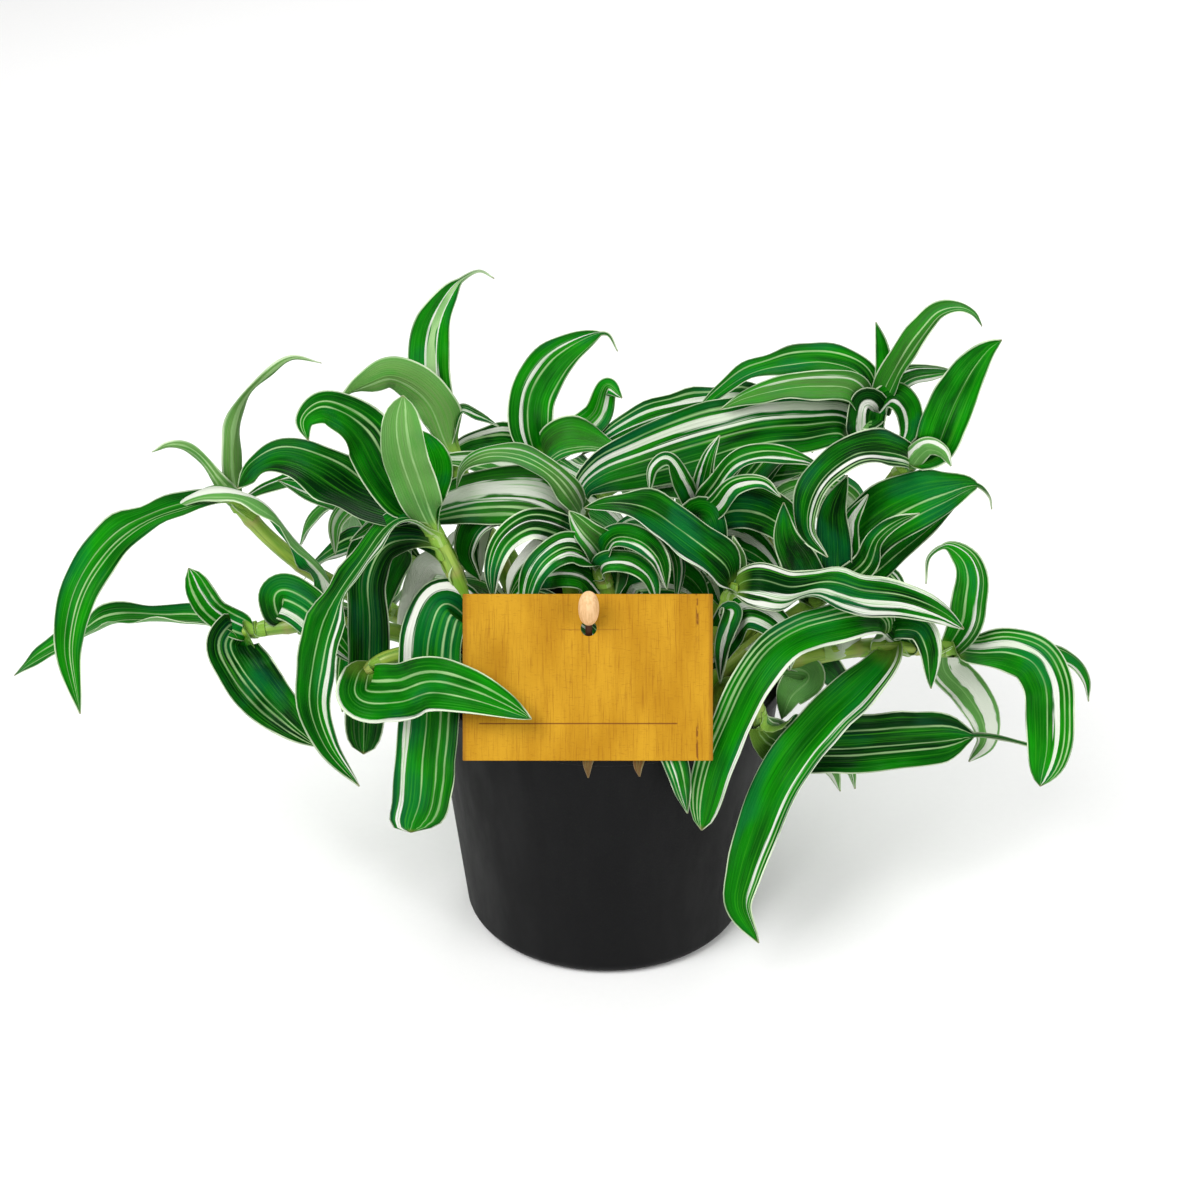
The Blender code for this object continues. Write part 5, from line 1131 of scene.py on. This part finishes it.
def lookAttributes(look):
    # three white stripes and three fine ones; a missing one lies at 3, off the blade
    rows = {"leafTone": (look["tone"], look["pale"], look["dry"])}
    for name, stripes in (("broadStripes", look["white"]), ("fineStripes", look["fine"])):
        stripes = stripes + [(3.0, 0.0)] * (3 - len(stripes))
        rows[name], rows[name + "Half"] = zip(*stripes)
    return rows


def nearestOf(node):
    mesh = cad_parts[node].data
    tree = KDTree(len(mesh.vertices))
    for k, v in enumerate(mesh.vertices):
        tree.insert(v.co, k)
    tree.balance()
    return lambda tip: tree.find(tip * mm)[2] / mm


def archingPath(start, azimuth, climb, droop, length):
    heading = np.array([math.cos(azimuth), math.sin(azimuth), 0.0])
    points, here, steps = [], np.array(start), layout["steps"]
    for k in range(steps):
        slope = climb + (droop - climb) * ((k + 0.5) / steps) ** layout["curl"]
        here = here + (heading * math.cos(slope) + np.array([0.0, 0.0, math.sin(slope)])) * length / steps
        points.append(here)
    return points


def seenRibs(paths, rng):
    # every leaf where its CAD node has it: the tip of the right try lies on the node's mesh
    steps = [layout["shiftStep"] * k for k in range(1, layout["shiftTries"])]
    shifts = [0.0] + [sign * step for step in steps for sign in (1, -1)]
    for name, foot, points, leaves in shoots:
        nearest = nearestOf(name)
        for number, spec in enumerate(leaves):
            best = None
            for shift in shifts:
                shift *= spec["side"]
                path = [placed((x, z, near + shift * min(1.0, (i + 1) / 2)))
                        for i, (x, z, near) in enumerate(spec["points"])]
                off = nearest(path[-1])
                if best is None or off < best[0] - 0.05:
                    best = (off, path)
            if best[0] > layout["tipOff"]:
                print("no place found:", name, number, round(best[0], 2))
                continue
            look = leafLooks.get(name, {}).get(number) or randomLook(rng)
            yield name, bladeRib(spec, best[1], paths[name][0], None, rng), look


def unseenRibs(paths, rng):
    draws = np.random.default_rng(layout["seed"])
    up = np.array([0.0, 0.0, 1.0])

    def draw(key):
        return draws.uniform(*layout[key])

    for name, foot, top, count, sector in fillShoots:
        coarse = paths[name][0]
        nearest = nearestOf(name)
        step = (sector[1] - sector[0]) / count
        for number in range(count):
            low = sector[0] + step * number
            for k in range(layout["tries"]):
                spec = leaf(draw("at"), draw("width"), [], rolls=(draw("firstRoll"), draw("lastRoll")),
                            fold=draw("fold"))
                azimuth = math.radians(draws.uniform(low, low + step))
                climb, droop = math.radians(draw("climb")), math.radians(draw("droop"))
                length = draw("length") * (1 - layout["shorter"] * k / layout["tries"])
                start = pointOn(coarse, spec["at"], blade["rootBack"])
                path = archingPath(start, azimuth, climb, droop, length)
                if nearest(path[-1]) < layout["fillTipOff"]:
                    yield name, bladeRib(spec, path, coarse, up, rng), randomLook(rng)
                    break
            else:
                print("left out:", name, number)


def pathMesh(name, lines):
    # several open lines in one mesh, with their point attributes
    edges, start = [], 0
    for line in lines:
        count = len(line["centre"])
        edges += [(start + i, start + i + 1) for i in range(count - 1)]
        start += count
    mesh = bpy.data.meshes.new(name)
    mesh.from_pydata([tuple(v) for v in np.concatenate([line["centre"] for line in lines]) * mm], edges, [])
    for key in lines[0]:
        if key != "centre":
            setAttribute(mesh, key, np.concatenate([line[key] for line in lines]))
    return mesh


def stemLine(line, rng):
    # the stem's path with its thickness, which swells at each knot
    run = summed(gapsOf(line))
    radius = np.interp(run / run[-1], [0.0, stem["taperFrom"], 1.0], [stem["radius"], stem["radius"],
                                                                      stem["topRadius"]])
    knots = np.arange(stem["knotFrom"], run[-1], rng.uniform(*stem["knotGaps"]))
    swell = sum((np.exp(-((run - k) / stem["knotHalf"]) ** 2) for k in knots), np.zeros(len(run)))
    radius = radius + stem["swelling"] * swell
    radius[-3:] *= stem["tipShape"]
    return dict(centre=line, stemRadius=radius, along=run / stem["markRun"],
                leafSeed=np.full(len(run), rng.uniform(0, 50)), nodeRing=np.clip(swell, 0, 1) * stem["ring"])


# attributes that only the trees read
stemOnly = ("aroundStem", "stemRadius")
bladeOnly = ("ribCentre", "ribAcross", "ribNormal", "sectionX", "sectionY", "trough", "ripple", "flutter",
             "crease", "body", "along")


def makeShoots():
    leafMaterial, stemMaterial = makeLeafMaterial(), makeStemMaterial()
    bladeTree, stemTree = makeBladeTree(), makeStemTree()
    paths = stemPaths()
    ribs = {name: [] for name in paths}
    rng = np.random.default_rng(blade["seed"])
    for makeRibs in (seenRibs, unseenRibs):
        for name, rib, look in makeRibs(paths, rng):
            ribs[name].append((rib, look))
    rng = np.random.default_rng(stem["seed"])
    for name, blades in ribs.items():
        for rib, look in blades:
            rows = len(rib["centre"])
            rib["leafSeed"] = np.full(rows, rng.uniform(0, 50))
            for key, value in lookAttributes(look).items():
                rib[key] = np.tile(value, (rows, 1))
        stemMesh = nodesToMesh(name + "_stem", pathMesh(name, [stemLine(paths[name][1], rng)]), stemTree,
                               {"Sides": stem["sides"], "Stem": stemMaterial}, stemOnly)
        leafMesh = nodesToMesh(name + "_leaves", pathMesh(name, [rib for rib, look in blades]), bladeTree,
                               {"Points round": blade["pointsRound"], "Thickness": blade["thickness"] * mm,
                                "Leaf": leafMaterial}, bladeOnly)
        addPiece(name + "_stem", stemMesh, name)
        addPiece(name + "_leaves", leafMesh, name)
        count = sum(len(p.vertices) - 2 for mesh in (leafMesh, stemMesh) for p in mesh.polygons)
        print(name, len(blades), "leaves", count, "triangles")


makeShoots()
print("shoots made")

# each lamp is (place, width, power)
studio = {"floorHalf": 3.0, "floorDrop": 0.0002, "paper": ((0.90, 0.90, 0.895), (0.925, 0.925, 0.92)),
          "distance": 0.9, "pitch": 29.5, "target": (-0.002, 0.0, 0.117), "lens": 82.38, "sensor": 36.0,
          "sky": 0.43, "lamps": {"key": ((-0.75, -0.85, 1.25), 0.9, 25.0),
                                 "fill": ((1.0, -0.75, 0.75), 0.9, 9.0),
                                 "back": ((0.25, 0.95, 1.1), 0.8, 9.0)}}


def makeFloor():
    work = bmesh.new()
    half, drop = studio["floorHalf"], studio["floorDrop"]
    corners = ((-half, -half), (half, -half), (half, half), (-half, half))
    work.faces.new([work.verts.new((x, y, -drop)) for x, y in corners])
    mesh = bpy.data.meshes.new("floor")
    work.to_mesh(mesh)
    work.free()
    material, tree = newMaterial("floor_white", {"Roughness": 0.7})
    colour = mixed(noiseOf(objectPlace(tree), 400.0, 3.0), *studio["paper"])
    newObject("floor", finished(mesh, dressed(material, colour)))


def aimed(name, data, place, heading):
    holder = newObject(name, data)
    holder.location = place
    holder.rotation_euler = heading.to_track_quat("-Z", "Y").to_euler()
    return holder


def makeStudio():
    scene = bpy.context.scene
    target = Vector(studio["target"])
    makeFloor()
    for name, (place, width, power) in studio["lamps"].items():
        lamp = bpy.data.lights.new(name, "AREA")
        lamp.shape = "SQUARE"
        lamp.size = width
        lamp.energy = power
        aimed(name, lamp, place, target - Vector(place))
    scene.world = bpy.data.worlds.new("studio")
    scene.world.use_nodes = True
    background = scene.world.node_tree.nodes["Background"]
    background.inputs["Color"].default_value = (1.0, 1.0, 1.0, 1.0)
    background.inputs["Strength"].default_value = studio["sky"]
    lens = bpy.data.cameras.new("camera")
    lens.lens = studio["lens"]
    lens.sensor_width = studio["sensor"]
    pitch = math.radians(studio["pitch"])
    away = Vector((0.0, -math.cos(pitch), math.sin(pitch)))
    scene.camera = aimed("camera", lens, target + away * studio["distance"], -away)
    scene.view_settings.view_transform = "Standard"


makeStudio()
print("studio made")
